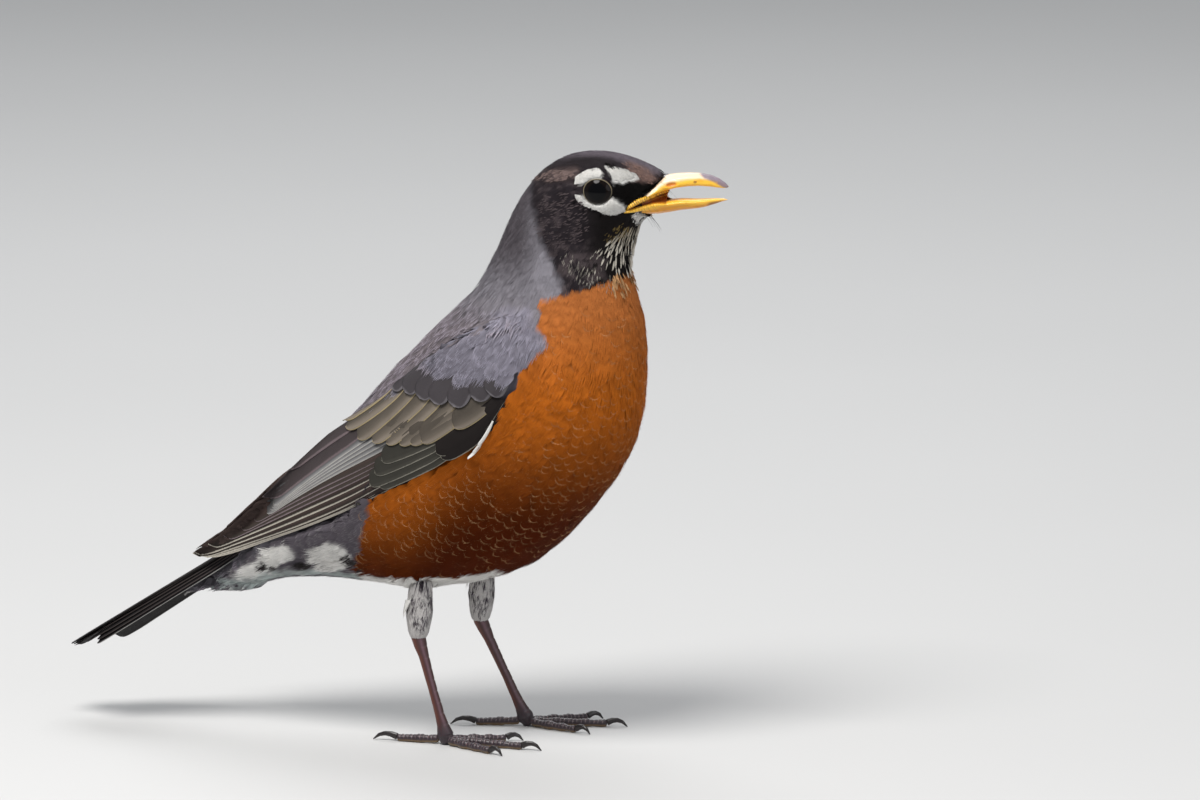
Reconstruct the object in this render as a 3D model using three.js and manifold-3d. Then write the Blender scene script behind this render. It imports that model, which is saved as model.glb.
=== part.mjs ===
// American robin, a still life-size model standing on its two feet.
// Millimetres, +Z up, bill towards +X, left side towards +Y, floor at z = 0.

import * as THREE from "three";
import { mergeVertices } from "three/addons/utils/BufferGeometryUtils.js";
import Module from "manifold-3d";

const wasm = await Module();
wasm.setup();

// ---------------------------------------------------------------- driving dimensions

const GAP = 0.3; // clearance between neighbouring solids
const RING_POINTS = 24; // points round a section of the body
const RIGHT = -1; // sign of y on the bird's right side
const LEFT = 1;

// Sections of the feathered body from the tail base to the brow, each in its own plane:
// [dorsal x, dorsal z, ventral x, ventral z, half width, widest level (0 ventral, 1 dorsal), fullness]
const BODY_SECTIONS = [
  [-63.0, 43.4, -67.0, 36.8, 3.4, 0.5, 2.0],
  [-50.0, 52.0, -57.0, 40.5, 6.0, 0.52, 2.0],
  [-42.0, 61.0, -47.0, 41.0, 10.5, 0.5, 2.0],
  [-32.0, 72.5, -34.0, 44.5, 15.5, 0.48, 2.0],
  [-22.0, 85.5, -17.0, 45.5, 21.0, 0.46, 2.05],
  [-11.5, 97.5, 2.0, 44.3, 26.0, 0.45, 2.1],
  [-2.0, 108.5, 22.0, 45.6, 29.0, 0.46, 2.15],
  [7.8, 118.8, 42.0, 52.5, 30.6, 0.47, 2.2],
  [16.5, 127.6, 59.5, 69.3, 30.6, 0.48, 2.2],
  [23.0, 133.6, 71.5, 87.5, 29.0, 0.49, 2.15],
  [27.0, 140.0, 75.4, 108.0, 25.5, 0.5, 2.1],
  [30.8, 147.8, 74.9, 125.5, 20.8, 0.5, 2.05],
  [34.0, 155.5, 70.6, 140.5, 17.0, 0.52, 2.0],
  [38.2, 163.2, 71.0, 147.5, 15.0, 0.54, 2.0],
  [44.6, 170.8, 73.0, 153.2, 14.2, 0.52, 2.05],
  [53.5, 175.6, 74.6, 156.4, 13.7, 0.5, 2.1],
  [63.5, 176.4, 76.2, 157.4, 12.3, 0.48, 2.1],
  [73.2, 174.3, 78.4, 157.7, 8.4, 0.46, 2.1],
  [81.4, 170.8, 80.4, 158.4, 4.9, 0.44, 2.1],
];
const RINGS_PER_SECTION = 2;
const RUMP_END = 4.0; // body positions, in sections, where the named parts meet
const TRUNK_END = 11.0;
const NECK_END = 13.5;

const EYE_RADIUS = 6.0;
const EYE_CENTRE = [64.0, 8.9, 166.2]; // x, distance from the middle plane, z

// Bill sections: [x, top z, bottom z, half width]; the last one is the tip.
const UPPER_BILL = [
  [71.6, 161.4, 160.8, 8.9],
  [74.0, 163.5, 161.9, 8.4],
  [77.0, 165.6, 163.4, 7.3],
  [80.0, 168.2, 164.8, 6.0],
  [82.0, 170.2, 165.6, 4.7],
  [85.0, 170.7, 166.5, 3.8],
  [88.7, 171.0, 167.1, 3.2],
  [92.0, 171.0, 167.3, 2.6],
  [95.0, 170.6, 167.2, 2.0],
  [97.5, 169.7, 166.9, 1.4],
  [99.5, 168.4, 166.8, 0.75],
];
const UPPER_BILL_TIP = [100.7, 167.2];
const LOWER_BILL = [
  [71.6, 160.4, 159.8, 8.8],
  [74.0, 161.1, 159.0, 8.2],
  [77.0, 161.9, 158.4, 7.1],
  [80.0, 162.6, 158.4, 5.8],
  [83.0, 163.2, 158.9, 4.6],
  [86.0, 163.6, 159.6, 3.7],
  [89.0, 163.7, 160.1, 3.0],
  [93.3, 163.7, 160.8, 2.3],
  [96.7, 163.7, 161.9, 1.5],
  [99.0, 163.7, 162.8, 0.8],
];
const LOWER_BILL_TIP = [100.5, 163.4];
const MOUTH_CORNER_X = 71.9;

// Folded wing, sections from the bend of the wing to its tip:
// [upper edge x, out, z, lower edge x, out, z, bulge]
const WING_SECTIONS = [
  [47.5, 24.5, 127.0, 50.5, 27.0, 117.0, 1.2],
  [40.5, 25.5, 130.5, 46.5, 30.0, 108.0, 2.2],
  [30.6, 25.5, 127.8, 40.0, 31.3, 99.5, 2.8],
  [18.4, 24.0, 120.9, 31.0, 31.8, 90.5, 3.2],
  [9.0, 21.0, 111.5, 20.0, 31.0, 84.0, 3.4],
  [0.0, 17.5, 103.5, 9.0, 29.2, 78.6, 3.6],
  [-8.0, 13.8, 98.0, -3.0, 26.6, 72.0, 3.8],
  [-17.0, 9.8, 92.0, -14.0, 23.4, 66.8, 3.6],
  [-25.5, 6.8, 84.0, -25.0, 19.6, 62.4, 2.8],
  [-32.5, 5.2, 75.5, -35.0, 16.0, 59.0, 1.8],
  [-40.0, 4.6, 67.0, -44.0, 12.8, 56.0, 1.0],
  [-48.5, 4.8, 60.2, -52.0, 10.2, 53.2, 0.5],
  [-56.0, 5.6, 54.6, -57.5, 8.8, 51.2, 0.2],
  [-61.0, 6.6, 50.6, -61.4, 7.6, 49.8, 0.0],
];
const WING_THICKNESS = 3.2; // at the shoulder
const FEATHER_THICKNESS = 0.9; // at the tips
const COVERT_STEP = 0.9; // how far the coverts stand proud of the flight feathers
const BARB_STEP = 0.5; // rise from one flight feather to the next
const COVERT_LINE = [0.37, 0.52]; // covert tips along the wing at its upper and lower edge
const FLIGHT_SPLIT = [0.66, 0.5]; // secondaries above, primaries below, at root and tip
const SECONDARY_COUNT = 6;
const PRIMARY_COUNT = 6;
const SECONDARY_REACH = [0.76, 0.885]; // where the longest tertial and last secondary end

const TAIL_ROOT = [-36.0, 63.0]; // x, z of the ridge under the rump
const TAIL_TIP = [-101.4, 21.4];
const TAIL_HALF_WIDTH = [5.5, 12.5];
const TAIL_ROOF = 3.4; // how far the edges hang below the ridge
const TAIL_ROLL = THREE.MathUtils.degToRad(8); // left edge lower
const TAIL_THICKNESS = 1.5;
const TAIL_SIDE_FEATHERS = 5;
const TAIL_STEP = 0.45; // rise from one tail feather to the next
const TAIL_CORNER = 0.13; // how much shorter the outer feathers are

// Legs: [joint x, out, z], [foot x, out], heading in degrees
const LEGS = {
  right: { side: RIGHT, hip: [3.5, 15.0, 58.0], joint: [9.7, 14.0, 32.7], foot: [19.1, 16.0], heading: -4 },
  left: { side: LEFT, hip: [16.0, 15.0, 58.0], joint: [20.8, 14.0, 33.2], foot: [34.8, 17.0], heading: 10 },
};
const THIGH_RADII = [8.5, 5.8, 4.2, 3.3];
const TARSUS_RADII = [
  [2.7, 2.3],
  [2.5, 2.1],
  [1.95, 1.45],
  [1.75, 1.35],
  [1.85, 1.5],
  [2.3, 2.1],
  [2.5, 3.0],
];
const TARSUS_LEVELS = [1, 0.94, 0.82, 0.5, 0.2, 0.1, 0.055];
const HUB_HEIGHT = 1.2; // where the leg meets the pad under the foot
const HUB_RADII = [2.4, 3.1];
const PAD_RADII = [1.9, 2.6]; // of the flat that the foot stands on
// Toes: angle outwards from the heading, start ahead of the foot's axis and beside it, lengths.
const TOES = [
  { name: "toe_back", angle: 180, ahead: -3.9, beside: 0, length: 11, claw: 7.5 },
  { name: "toe_inner", angle: -30, ahead: 2.6, beside: -2.25, length: 14, claw: 5 },
  { name: "toe_middle", angle: 1, ahead: 3.0, beside: 0, length: 20, claw: 6 },
  { name: "toe_outer", angle: 27, ahead: 2.6, beside: 2.25, length: 15.5, claw: 5 },
];
const TOE_POINTS = 8;

// ---------------------------------------------------------------- materials

const finish = (color, roughness, metalness = 0) =>
  new THREE.MeshStandardMaterial({ color, roughness, metalness });

const MATERIALS = {
  headFeathers: finish(0x1d1b1e, 0.8),
  neckFeathers: finish(0x55535a, 0.8),
  breastFeathers: finish(0xb05a1c, 0.8),
  rumpFeathers: finish(0xa8a6a4, 0.85),
  wingFeathers: finish(0x5e5a5c, 0.7),
  flightFeathers: finish(0x3a3433, 0.6),
  tailFeathers: finish(0x262022, 0.6),
  thighFeathers: finish(0xb8b4ae, 0.85),
  bill: finish(0xe8a820, 0.35),
  eye: finish(0x0c0908, 0.08),
  leg: finish(0x4a3038, 0.5),
  claw: finish(0x241a1c, 0.4),
};

// ---------------------------------------------------------------- shape helpers

function signedVolume(positions, indices) {
  let volume = 0;
  const corner = [new THREE.Vector3(), new THREE.Vector3(), new THREE.Vector3()];
  for (let i = 0; i < indices.length; i += 3) {
    corner.forEach((point, k) => point.fromArray(positions, indices[i + k] * 3));
    volume += corner[0].dot(corner[1].clone().cross(corner[2])) / 6;
  }
  return volume;
}

// A closed indexed geometry with its faces pointing out.
function closedGeometry(points, indices) {
  const positions = points.flatMap((p) => [p.x, p.y, p.z]);
  if (signedVolume(positions, indices) < 0) {
    indices.reverse();
  }
  const geometry = new THREE.BufferGeometry();
  geometry.setAttribute("position", new THREE.Float32BufferAttribute(positions, 3));
  geometry.setIndex(indices);
  return geometry;
}

// Skins a row of rings and closes both ends on one point each.
function loft(rings, startPoint, endPoint) {
  const count = rings[0].length;
  const points = [...rings.flat(), startPoint, endPoint];
  const start = points.length - 2;
  const end = points.length - 1;
  const last = (rings.length - 1) * count;
  const indices = [];
  for (let j = 0; j < count; j += 1) {
    const k = (j + 1) % count;
    for (let i = 0; i < rings.length - 1; i += 1) {
      const row = i * count;
      const next = row + count;
      indices.push(row + j, row + k, next + k, row + j, next + k, next + j);
    }
    indices.push(start, k, j, end, last + j, last + k);
  }
  return closedGeometry(points, indices);
}

// Closes two facing grids of points, [row][column], into a thin solid.
function slab(outer, inner) {
  const rows = outer.length;
  const columns = outer[0].length;
  const points = [...outer.flat(), ...inner.flat()];
  const at = (layer, i, j) => layer * rows * columns + i * columns + j;
  const indices = [];
  const quad = (a, b, c, d) => indices.push(a, b, c, a, c, d);
  for (let i = 0; i < rows - 1; i += 1) {
    for (let j = 0; j < columns - 1; j += 1) {
      quad(at(0, i, j), at(0, i + 1, j), at(0, i + 1, j + 1), at(0, i, j + 1));
      quad(at(1, i, j), at(1, i, j + 1), at(1, i + 1, j + 1), at(1, i + 1, j));
    }
    quad(at(0, i, 0), at(1, i, 0), at(1, i + 1, 0), at(0, i + 1, 0));
    quad(at(0, i, columns - 1), at(0, i + 1, columns - 1), at(1, i + 1, columns - 1), at(1, i, columns - 1));
  }
  for (let j = 0; j < columns - 1; j += 1) {
    quad(at(0, 0, j), at(0, 0, j + 1), at(1, 0, j + 1), at(1, 0, j));
    quad(at(0, rows - 1, j), at(1, rows - 1, j), at(1, rows - 1, j + 1), at(0, rows - 1, j + 1));
  }
  return closedGeometry(points, indices);
}

function toSolid(geometry) {
  const bare = geometry.clone();
  bare.deleteAttribute("normal");
  bare.deleteAttribute("uv");
  const merged = mergeVertices(bare, 1e-5);
  return new wasm.Manifold(
    new wasm.Mesh({
      numProp: 3,
      vertProperties: new Float32Array(merged.getAttribute("position").array),
      triVerts: new Uint32Array(merged.getIndex().array),
    }),
  );
}

function toGeometry(solid) {
  const mesh = solid.getMesh();
  const geometry = new THREE.BufferGeometry();
  geometry.setAttribute("position", new THREE.BufferAttribute(new Float32Array(mesh.vertProperties), 3));
  geometry.setIndex(new THREE.BufferAttribute(new Uint32Array(mesh.triVerts), 1));
  return geometry;
}

function carve(geometry, cutters) {
  const solid = cutters.reduce((left, cutter) => left.subtract(toSolid(cutter)), toSolid(geometry));
  return toGeometry(solid);
}

// A smooth curve through rows of three numbers, read by row number.
function track(rows) {
  const curve = new THREE.CatmullRomCurve3(rows.map((row) => new THREE.Vector3(...row)));
  return (position) => curve.getPoint(THREE.MathUtils.clamp(position / (rows.length - 1), 0, 1));
}

const power = (value, exponent) => Math.sign(value) * Math.abs(value) ** exponent;
const mix = THREE.MathUtils.lerp;

// ---------------------------------------------------------------- body

const dorsalAt = track(BODY_SECTIONS.map((row) => [row[0], 0, row[1]]));
const ventralAt = track(BODY_SECTIONS.map((row) => [row[2], 0, row[3]]));
const girthAt = track(BODY_SECTIONS.map((row) => [row[4], row[5] * 10, row[6] * 10]));

// One section of the body; shift moves it along the body, towards the bill.
function bodyRing(position, shift = 0) {
  const dorsal = dorsalAt(position);
  const ventral = ventralAt(position);
  const girth = girthAt(position);
  const level = girth.y / 10;
  const exponent = 2 / (girth.z / 10);
  const up = dorsal.clone().sub(ventral);
  const height = up.length();
  up.normalize();
  const forward = new THREE.Vector3(up.z, 0, -up.x);
  const centre = ventral.clone().lerp(dorsal, level).addScaledVector(forward, shift);
  const ring = [];
  for (let j = 0; j < RING_POINTS; j += 1) {
    const angle = (2 * Math.PI * j) / RING_POINTS;
    const rise = power(Math.sin(angle), exponent);
    const reach = rise > 0 ? (1 - level) * height : level * height;
    const point = centre.clone().addScaledVector(up, rise * reach);
    point.y = power(Math.cos(angle), exponent) * girth.x;
    ring.push(point);
  }
  return ring;
}

function middleOf(ring) {
  const sum = ring.reduce((total, point) => total.add(point), new THREE.Vector3());
  return sum.divideScalar(ring.length);
}

// The stretch of the body between two positions, trimmed so that neighbours keep the gap.
function bodyPart(from, to) {
  const steps = Math.round((to - from) * RINGS_PER_SECTION);
  const last = BODY_SECTIONS.length - 1;
  const rings = [];
  for (let i = 0; i <= steps; i += 1) {
    const startTrim = i === 0 && from > 0 ? GAP / 2 : 0;
    const endTrim = i === steps && to < last ? -GAP / 2 : 0;
    rings.push(bodyRing(mix(from, to, i / steps), startTrim + endTrim));
  }
  return loft(rings, middleOf(rings[0]), middleOf(rings[steps]));
}

// ---------------------------------------------------------------- bill and mouth

// Half a bill: a rounded ridge on one side and a flatter one on the other.
function billHalf(sections, tip, ridge, grow = 0) {
  const points = 10;
  const rings = sections.map(([x, top, bottom, halfWidth]) => {
    const middle = ridge > 0 ? mix(top, bottom, 0.75) : mix(top, bottom, 0.25);
    const ring = [];
    for (let j = 0; j < points; j += 1) {
      const angle = (2 * Math.PI * j) / points;
      const rise = Math.sin(angle);
      const reach = rise > 0 ? top - middle + grow : middle - bottom + grow;
      const width = power(Math.cos(angle), rise * ridge > 0 ? 0.85 : 0.6) * (halfWidth + grow);
      ring.push(new THREE.Vector3(x, width, middle + rise * reach));
    }
    return ring;
  });
  const [firstX, firstTop, firstBottom] = sections[0];
  const start = new THREE.Vector3(firstX - 0.3 - grow, 0, (firstTop + firstBottom) / 2);
  return loft(rings, start, new THREE.Vector3(tip[0] + grow, 0, tip[1]));
}

// The open wedge between the two halves of the bill, right through the cheeks.
function mouthOpening() {
  const halfWidth = 12;
  const frontX = 84;
  const corner = LOWER_BILL[0];
  const profile = [
    [MOUTH_CORNER_X, (UPPER_BILL[0][2] + corner[1]) / 2],
    ...LOWER_BILL.slice(1, 5).map(([x, top]) => [x, top - 0.2]),
    [frontX, LOWER_BILL[4][1]],
    [frontX, UPPER_BILL[5][2]],
    ...UPPER_BILL.slice(1, 5).reverse().map(([x, , bottom]) => [x, bottom + 0.2]),
  ];
  const shape = new THREE.Shape(profile.map(([x, z]) => new THREE.Vector2(x, z)));
  const wedge = new THREE.ExtrudeGeometry(shape, { depth: 2 * halfWidth, bevelEnabled: false });
  wedge.rotateX(Math.PI / 2);
  wedge.translate(0, halfWidth, 0);
  return wedge;
}

function eyeball(side, grow = 0) {
  const [x, out, z] = EYE_CENTRE;
  const ball = new THREE.SphereGeometry(EYE_RADIUS + grow, 14, 10);
  ball.rotateX(Math.PI / 2);
  ball.translate(x, side * out, z);
  return ball;
}

// ---------------------------------------------------------------- wings

const upperEdgeAt = track(WING_SECTIONS.map((row) => row.slice(0, 3)));
const lowerEdgeAt = track(WING_SECTIONS.map((row) => row.slice(3, 6)));
const bulgeAt = track(WING_SECTIONS.map((row) => [row[6], 0, 0]));
const WING_LAST = WING_SECTIONS.length - 1;

// A point of the wing on the left side: along from bend (0) to tip (1), across from the upper
// edge (0) to the lower edge (1), and raised off the smooth surface by lift.
function wingPoint(along, across, lift) {
  const position = along * WING_LAST;
  const upper = upperEdgeAt(position);
  const lower = lowerEdgeAt(position);
  const step = 0.25;
  const tangent = upperEdgeAt(position + step).add(lowerEdgeAt(position + step));
  tangent.sub(upperEdgeAt(position - step)).sub(lowerEdgeAt(position - step)).normalize();
  const normal = lower.clone().sub(upper).cross(tangent).normalize();
  const bulge = bulgeAt(position).x * 4 * across * (1 - across);
  return upper.lerp(lower, across).addScaledVector(normal, bulge + lift);
}

const wingThickness = (along) => mix(WING_THICKNESS, FEATHER_THICKNESS, Math.min(1, along * 1.15));

// A slab of the wing between the lines start(across) and end(across), over a list of columns.
function wingPanel(side, columns, rows, start, end, lift, depth) {
  const grid = (raise) => {
    const points = [];
    for (let i = 0; i <= rows; i += 1) {
      points.push(
        columns.map((across) => {
          const along = mix(start(across), end(across), i / rows);
          const point = wingPoint(along, across, raise(along, across));
          point.y *= side;
          return point;
        }),
      );
    }
    return points;
  };
  return slab(grid(lift), grid((along, across) => lift(along, across) - depth(along, across)));
}

const spread = (from, to, count) => Array.from({ length: count + 1 }, (_, i) => mix(from, to, i / count));
const covertEnd = (across) => mix(COVERT_LINE[0], COVERT_LINE[1], across) - 0.06 * Math.sin(Math.PI * across);
const flightSplit = (along) => mix(FLIGHT_SPLIT[0], FLIGHT_SPLIT[1], along);

function covertPanel(side) {
  const rim = (along, across) => Math.min(1, 6 * across, 6 * (1 - across), 9 * along + 0.25);
  const lift = (along, across) => COVERT_STEP * rim(along, across);
  const depth = (along, across) => wingThickness(along) * (0.45 + 0.55 * rim(along, across));
  return wingPanel(side, spread(0, 1, 10), 7, () => 0, covertEnd, lift, depth);
}

// Two columns for each flight feather: tucked under its upper neighbour, then its free edge.
function featherColumns(from, to, count) {
  const width = (to - from) / count;
  return spread(from, to - width, count - 1).flatMap((edge) => [edge + 0.06 * width, edge + 0.97 * width]);
}

function flightPanel(side, from, to, count, end) {
  const columns = featherColumns(from, to, count);
  const width = (to - from) / count;
  const lift = (along, across) => BARB_STEP * (((across - from) / width) % 1) * (1 - 0.6 * along);
  const start = (across) => covertEnd(across) + 0.008;
  const depth = (along) => wingThickness(along) - 0.2;
  return wingPanel(side, columns, 6, start, end, lift, depth);
}

function secondaryPanel(side) {
  const end = (across) => mix(SECONDARY_REACH[0], SECONDARY_REACH[1], (across / FLIGHT_SPLIT[0]) ** 0.7);
  return flightPanel(side, 0, FLIGHT_SPLIT[0], SECONDARY_COUNT, end);
}

function primaryPanel(side) {
  const from = FLIGHT_SPLIT[0] + 0.02;
  const end = (across) => mix(0.9, 0.86, (across - from) / (1 - from));
  return flightPanel(side, from, 1, PRIMARY_COUNT, end);
}

// The projecting wing tip beyond the secondaries, in stepped primaries.
function wingTipPanel(side) {
  const columns = featherColumns(0, 1, 4);
  const lift = (along, across) => 0.3 * ((across * 4) % 1);
  const start = (across) => (across < FLIGHT_SPLIT[0] ? 0.895 : 0.91);
  const end = (across) => 1 - 0.05 * Math.abs(across - 0.45);
  return wingPanel(side, columns, 3, start, end, lift, () => FEATHER_THICKNESS);
}

// Everything the wing takes out of the body: the bed under it, and all outside it.
function wingCutter(side) {
  const above = 9;
  const columns = [-0.02, ...spread(0.02, 0.98, 5), 1.02];
  const depth = (along) => above + wingThickness(along) + 2 * GAP;
  return wingPanel(side, columns, 14, () => -0.004, () => 1, () => above, depth);
}

// ---------------------------------------------------------------- tail

// Sheet of the folded tail, with its feathers stepped down from the ridge to each edge. With grow
// it is the plain room that the tail needs in the rump.
function tailGeometry(grow = 0) {
  const rows = 6;
  const root = new THREE.Vector3(TAIL_ROOT[0], 0, TAIL_ROOT[1]);
  const tip = new THREE.Vector3(TAIL_TIP[0], 0, TAIL_TIP[1]);
  const back = tip.clone().sub(root);
  const up = new THREE.Vector3(-back.z, 0, back.x).normalize().negate();
  const side = new THREE.Vector3(0, Math.cos(TAIL_ROLL), -Math.sin(TAIL_ROLL));
  const feather = 1 / TAIL_SIDE_FEATHERS;
  const half = spread(0, 1 - feather, TAIL_SIDE_FEATHERS - 1);
  const steps = half.flatMap((edge) => [edge + 0.04 * feather, edge + 0.96 * feather]);
  const columns = grow > 0 ? spread(-1, 1, 6) : [...steps.map((value) => -value).reverse(), ...steps];
  const grid = (raise) =>
    spread(0, 1, rows).map((along) =>
      columns.map((across) => {
        const out = Math.abs(across);
        const reach = (along - 0.02 * grow) * (1 - TAIL_CORNER * out ** 3);
        const halfWidth = mix(TAIL_HALF_WIDTH[0], TAIL_HALF_WIDTH[1], along ** 0.8) + grow;
        const step = grow > 0 ? 0 : TAIL_STEP * ((out / feather) % 1);
        return root
          .clone()
          .addScaledVector(back, reach)
          .addScaledVector(side, across * halfWidth)
          .addScaledVector(up, raise(out) + step - TAIL_ROOF * out ** 1.6);
      }),
    );
  const thickness = (out) => TAIL_THICKNESS * (1 - 0.45 * out);
  const top = grow > 0 ? grow + TAIL_STEP : 0;
  return slab(grid(() => top), grid((out) => -thickness(out) - grow));
}

// ---------------------------------------------------------------- legs and feet

// A tube along points with its own half depth and half width at each, flat where it meets z = 0.
function limb(points, radii, sides, sideways, floor = -Infinity) {
  const rings = points.map((centre, i) => {
    const before = points[Math.max(0, i - 1)];
    const after = points[Math.min(points.length - 1, i + 1)];
    const along = after.clone().sub(before).normalize();
    const depthwise = sideways.clone().cross(along).normalize();
    const ring = [];
    for (let j = 0; j < sides; j += 1) {
      const angle = (2 * Math.PI * (j + 0.5)) / sides;
      const point = centre
        .clone()
        .addScaledVector(depthwise, Math.cos(angle) * radii[i][0])
        .addScaledVector(sideways, Math.sin(angle) * radii[i][1]);
      point.z = Math.max(point.z, floor);
      ring.push(point);
    }
    return ring;
  });
  return loft(rings, middleOf(rings[0]), middleOf(rings[rings.length - 1]));
}

const legPoint = (leg, [x, out, z]) => new THREE.Vector3(x, leg.side * out, z);

function thighGeometry(leg, grow = 0) {
  const hip = legPoint(leg, leg.hip);
  const joint = legPoint(leg, leg.joint);
  const down = joint.clone().sub(hip);
  const end = 0.985 + grow * 0.02;
  const points = spread(-0.01 * grow, end, THIGH_RADII.length - 1).map((t) =>
    hip.clone().addScaledVector(down, t),
  );
  const radii = THIGH_RADII.map((radius) => [radius + grow, radius * 0.92 + grow]);
  return limb(points, radii, 14, new THREE.Vector3(0, 1, 0));
}

function tarsusGeometry(leg) {
  const joint = legPoint(leg, leg.joint).add(new THREE.Vector3(0.1, 0, -0.7));
  const foot = legPoint(leg, [...leg.foot, HUB_HEIGHT]);
  const points = TARSUS_LEVELS.map((level) => foot.clone().lerp(joint, level));
  points.push(foot, legPoint(leg, [...leg.foot, 0]));
  const radii = [...TARSUS_RADII, HUB_RADII, PAD_RADII];
  return limb(points, radii, 12, new THREE.Vector3(0, 1, 0), 0);
}

function toeFrame(leg, toe) {
  const heading = THREE.MathUtils.degToRad(leg.heading);
  const turn = heading + THREE.MathUtils.degToRad(toe.angle) * leg.side;
  const forward = new THREE.Vector3(Math.cos(turn), Math.sin(turn), 0);
  const sideways = new THREE.Vector3(-forward.y, forward.x, 0);
  const start = legPoint(leg, [...leg.foot, 0]);
  start.addScaledVector(new THREE.Vector3(Math.cos(heading), Math.sin(heading), 0), toe.ahead);
  start.addScaledVector(new THREE.Vector3(-Math.sin(heading), Math.cos(heading), 0), toe.beside * leg.side);
  return { forward, start, sideways };
}

// A toe with a swelling at each joint, its underside flat on the floor.
function toeGeometry(leg, toe) {
  const { forward, start, sideways } = toeFrame(leg, toe);
  const steps = 6;
  const points = [];
  const radii = [];
  for (let i = 0; i <= steps; i += 1) {
    const t = i / steps;
    const pad = 0.16 * Math.cos(t * Math.PI * 6);
    const point = start.clone().addScaledVector(forward, t * toe.length);
    point.z = mix(1.35, 1.0, t);
    points.push(point);
    radii.push([mix(1.5, 1.1, t) + pad, Math.min(0.9 + 1.6 * t, mix(1.4, 1.1, t)) + pad]);
  }
  return limb(points, radii, TOE_POINTS, sideways, 0);
}

// A claw that rises a little from the toe and curves down to its point.
function clawGeometry(leg, toe) {
  const { forward, start, sideways } = toeFrame(leg, toe);
  const root = start.clone().addScaledVector(forward, toe.length + 2.2 * GAP);
  const steps = 4;
  const points = [];
  const radii = [];
  for (let i = 0; i < steps; i += 1) {
    const t = i / steps;
    const point = root.clone().addScaledVector(forward, t * toe.claw);
    point.z = 1.35 + 1.3 * Math.sin(t * Math.PI * 0.75) - 1.9 * t * t;
    points.push(point);
    radii.push([mix(1.0, 0.3, t), mix(0.8, 0.25, t)]);
  }
  const tip = root.clone().addScaledVector(forward, toe.claw);
  tip.z = 0.12;
  points.push(tip);
  radii.push([0.1, 0.1]);
  return limb(points, radii, 6, sideways, 0);
}

// ---------------------------------------------------------------- the bird

const group = new THREE.Group();

function addPart(name, geometry, material) {
  const mesh = new THREE.Mesh(geometry, material);
  mesh.name = name;
  mesh.geometry.computeVertexNormals();
  group.add(mesh);
}

const sides = [
  ["left", LEFT],
  ["right", RIGHT],
];
const wingCutters = sides.map(([, side]) => wingCutter(side));
const thighCutters = Object.values(LEGS).map((leg) => thighGeometry(leg, GAP));
const eyeCutters = sides.map(([, side]) => eyeball(side, GAP));
const billCutters = [
  billHalf(UPPER_BILL, UPPER_BILL_TIP, 1, GAP),
  billHalf(LOWER_BILL, LOWER_BILL_TIP, -1, GAP),
  mouthOpening(),
];

const BODY_END = BODY_SECTIONS.length - 1;
addPart("head", carve(bodyPart(NECK_END, BODY_END), [...eyeCutters, ...billCutters]), MATERIALS.headFeathers);
addPart("neck", bodyPart(TRUNK_END, NECK_END), MATERIALS.neckFeathers);
addPart("trunk", carve(bodyPart(RUMP_END, TRUNK_END), [...wingCutters, ...thighCutters]), MATERIALS.breastFeathers);
addPart("rump", carve(bodyPart(0, RUMP_END), [...wingCutters, tailGeometry(GAP)]), MATERIALS.rumpFeathers);
addPart("tail", carve(tailGeometry(), wingCutters), MATERIALS.tailFeathers);
addPart("bill_upper", billHalf(UPPER_BILL, UPPER_BILL_TIP, 1), MATERIALS.bill);
addPart("bill_lower", billHalf(LOWER_BILL, LOWER_BILL_TIP, -1), MATERIALS.bill);

for (const [name, side] of sides) {
  addPart(`eye_${name}`, eyeball(side), MATERIALS.eye);
  addPart(`wing_coverts_${name}`, covertPanel(side), MATERIALS.wingFeathers);
  addPart(`wing_secondaries_${name}`, secondaryPanel(side), MATERIALS.flightFeathers);
  addPart(`wing_primaries_${name}`, primaryPanel(side), MATERIALS.flightFeathers);
  addPart(`wing_tip_${name}`, wingTipPanel(side), MATERIALS.flightFeathers);
}

for (const [name, leg] of Object.entries(LEGS)) {
  addPart(`thigh_${name}`, thighGeometry(leg), MATERIALS.thighFeathers);
  addPart(`tarsus_${name}`, tarsusGeometry(leg), MATERIALS.leg);
  for (const toe of TOES) {
    addPart(`${toe.name}_${name}`, toeGeometry(leg, toe), MATERIALS.leg);
    addPart(`${toe.name.replace("toe", "claw")}_${name}`, clawGeometry(leg, toe), MATERIALS.claw);
  }
}

// The origin goes to the middle of the bird's box, on the floor.
const box = new THREE.Box3().setFromObject(group);
group.position.set(-(box.min.x + box.max.x) / 2, -(box.min.y + box.max.y) / 2, -box.min.z);

export default group;
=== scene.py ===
"""The looks of a life-size american robin: one skin, a coat of mesh feathers, wings, tail, head and feet.

Lengths are in millimetres in the numpy work and become metres when a mesh is made. +X is towards
the bill, +Y is the bird's left and +Z is up. Every place comes from the boxes and the surfaces of
the frame's nodes.
"""

import math

import bpy
import numpy as np
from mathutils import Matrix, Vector
from mathutils.bvhtree import BVHTree
from mathutils.kdtree import KDTree


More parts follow.
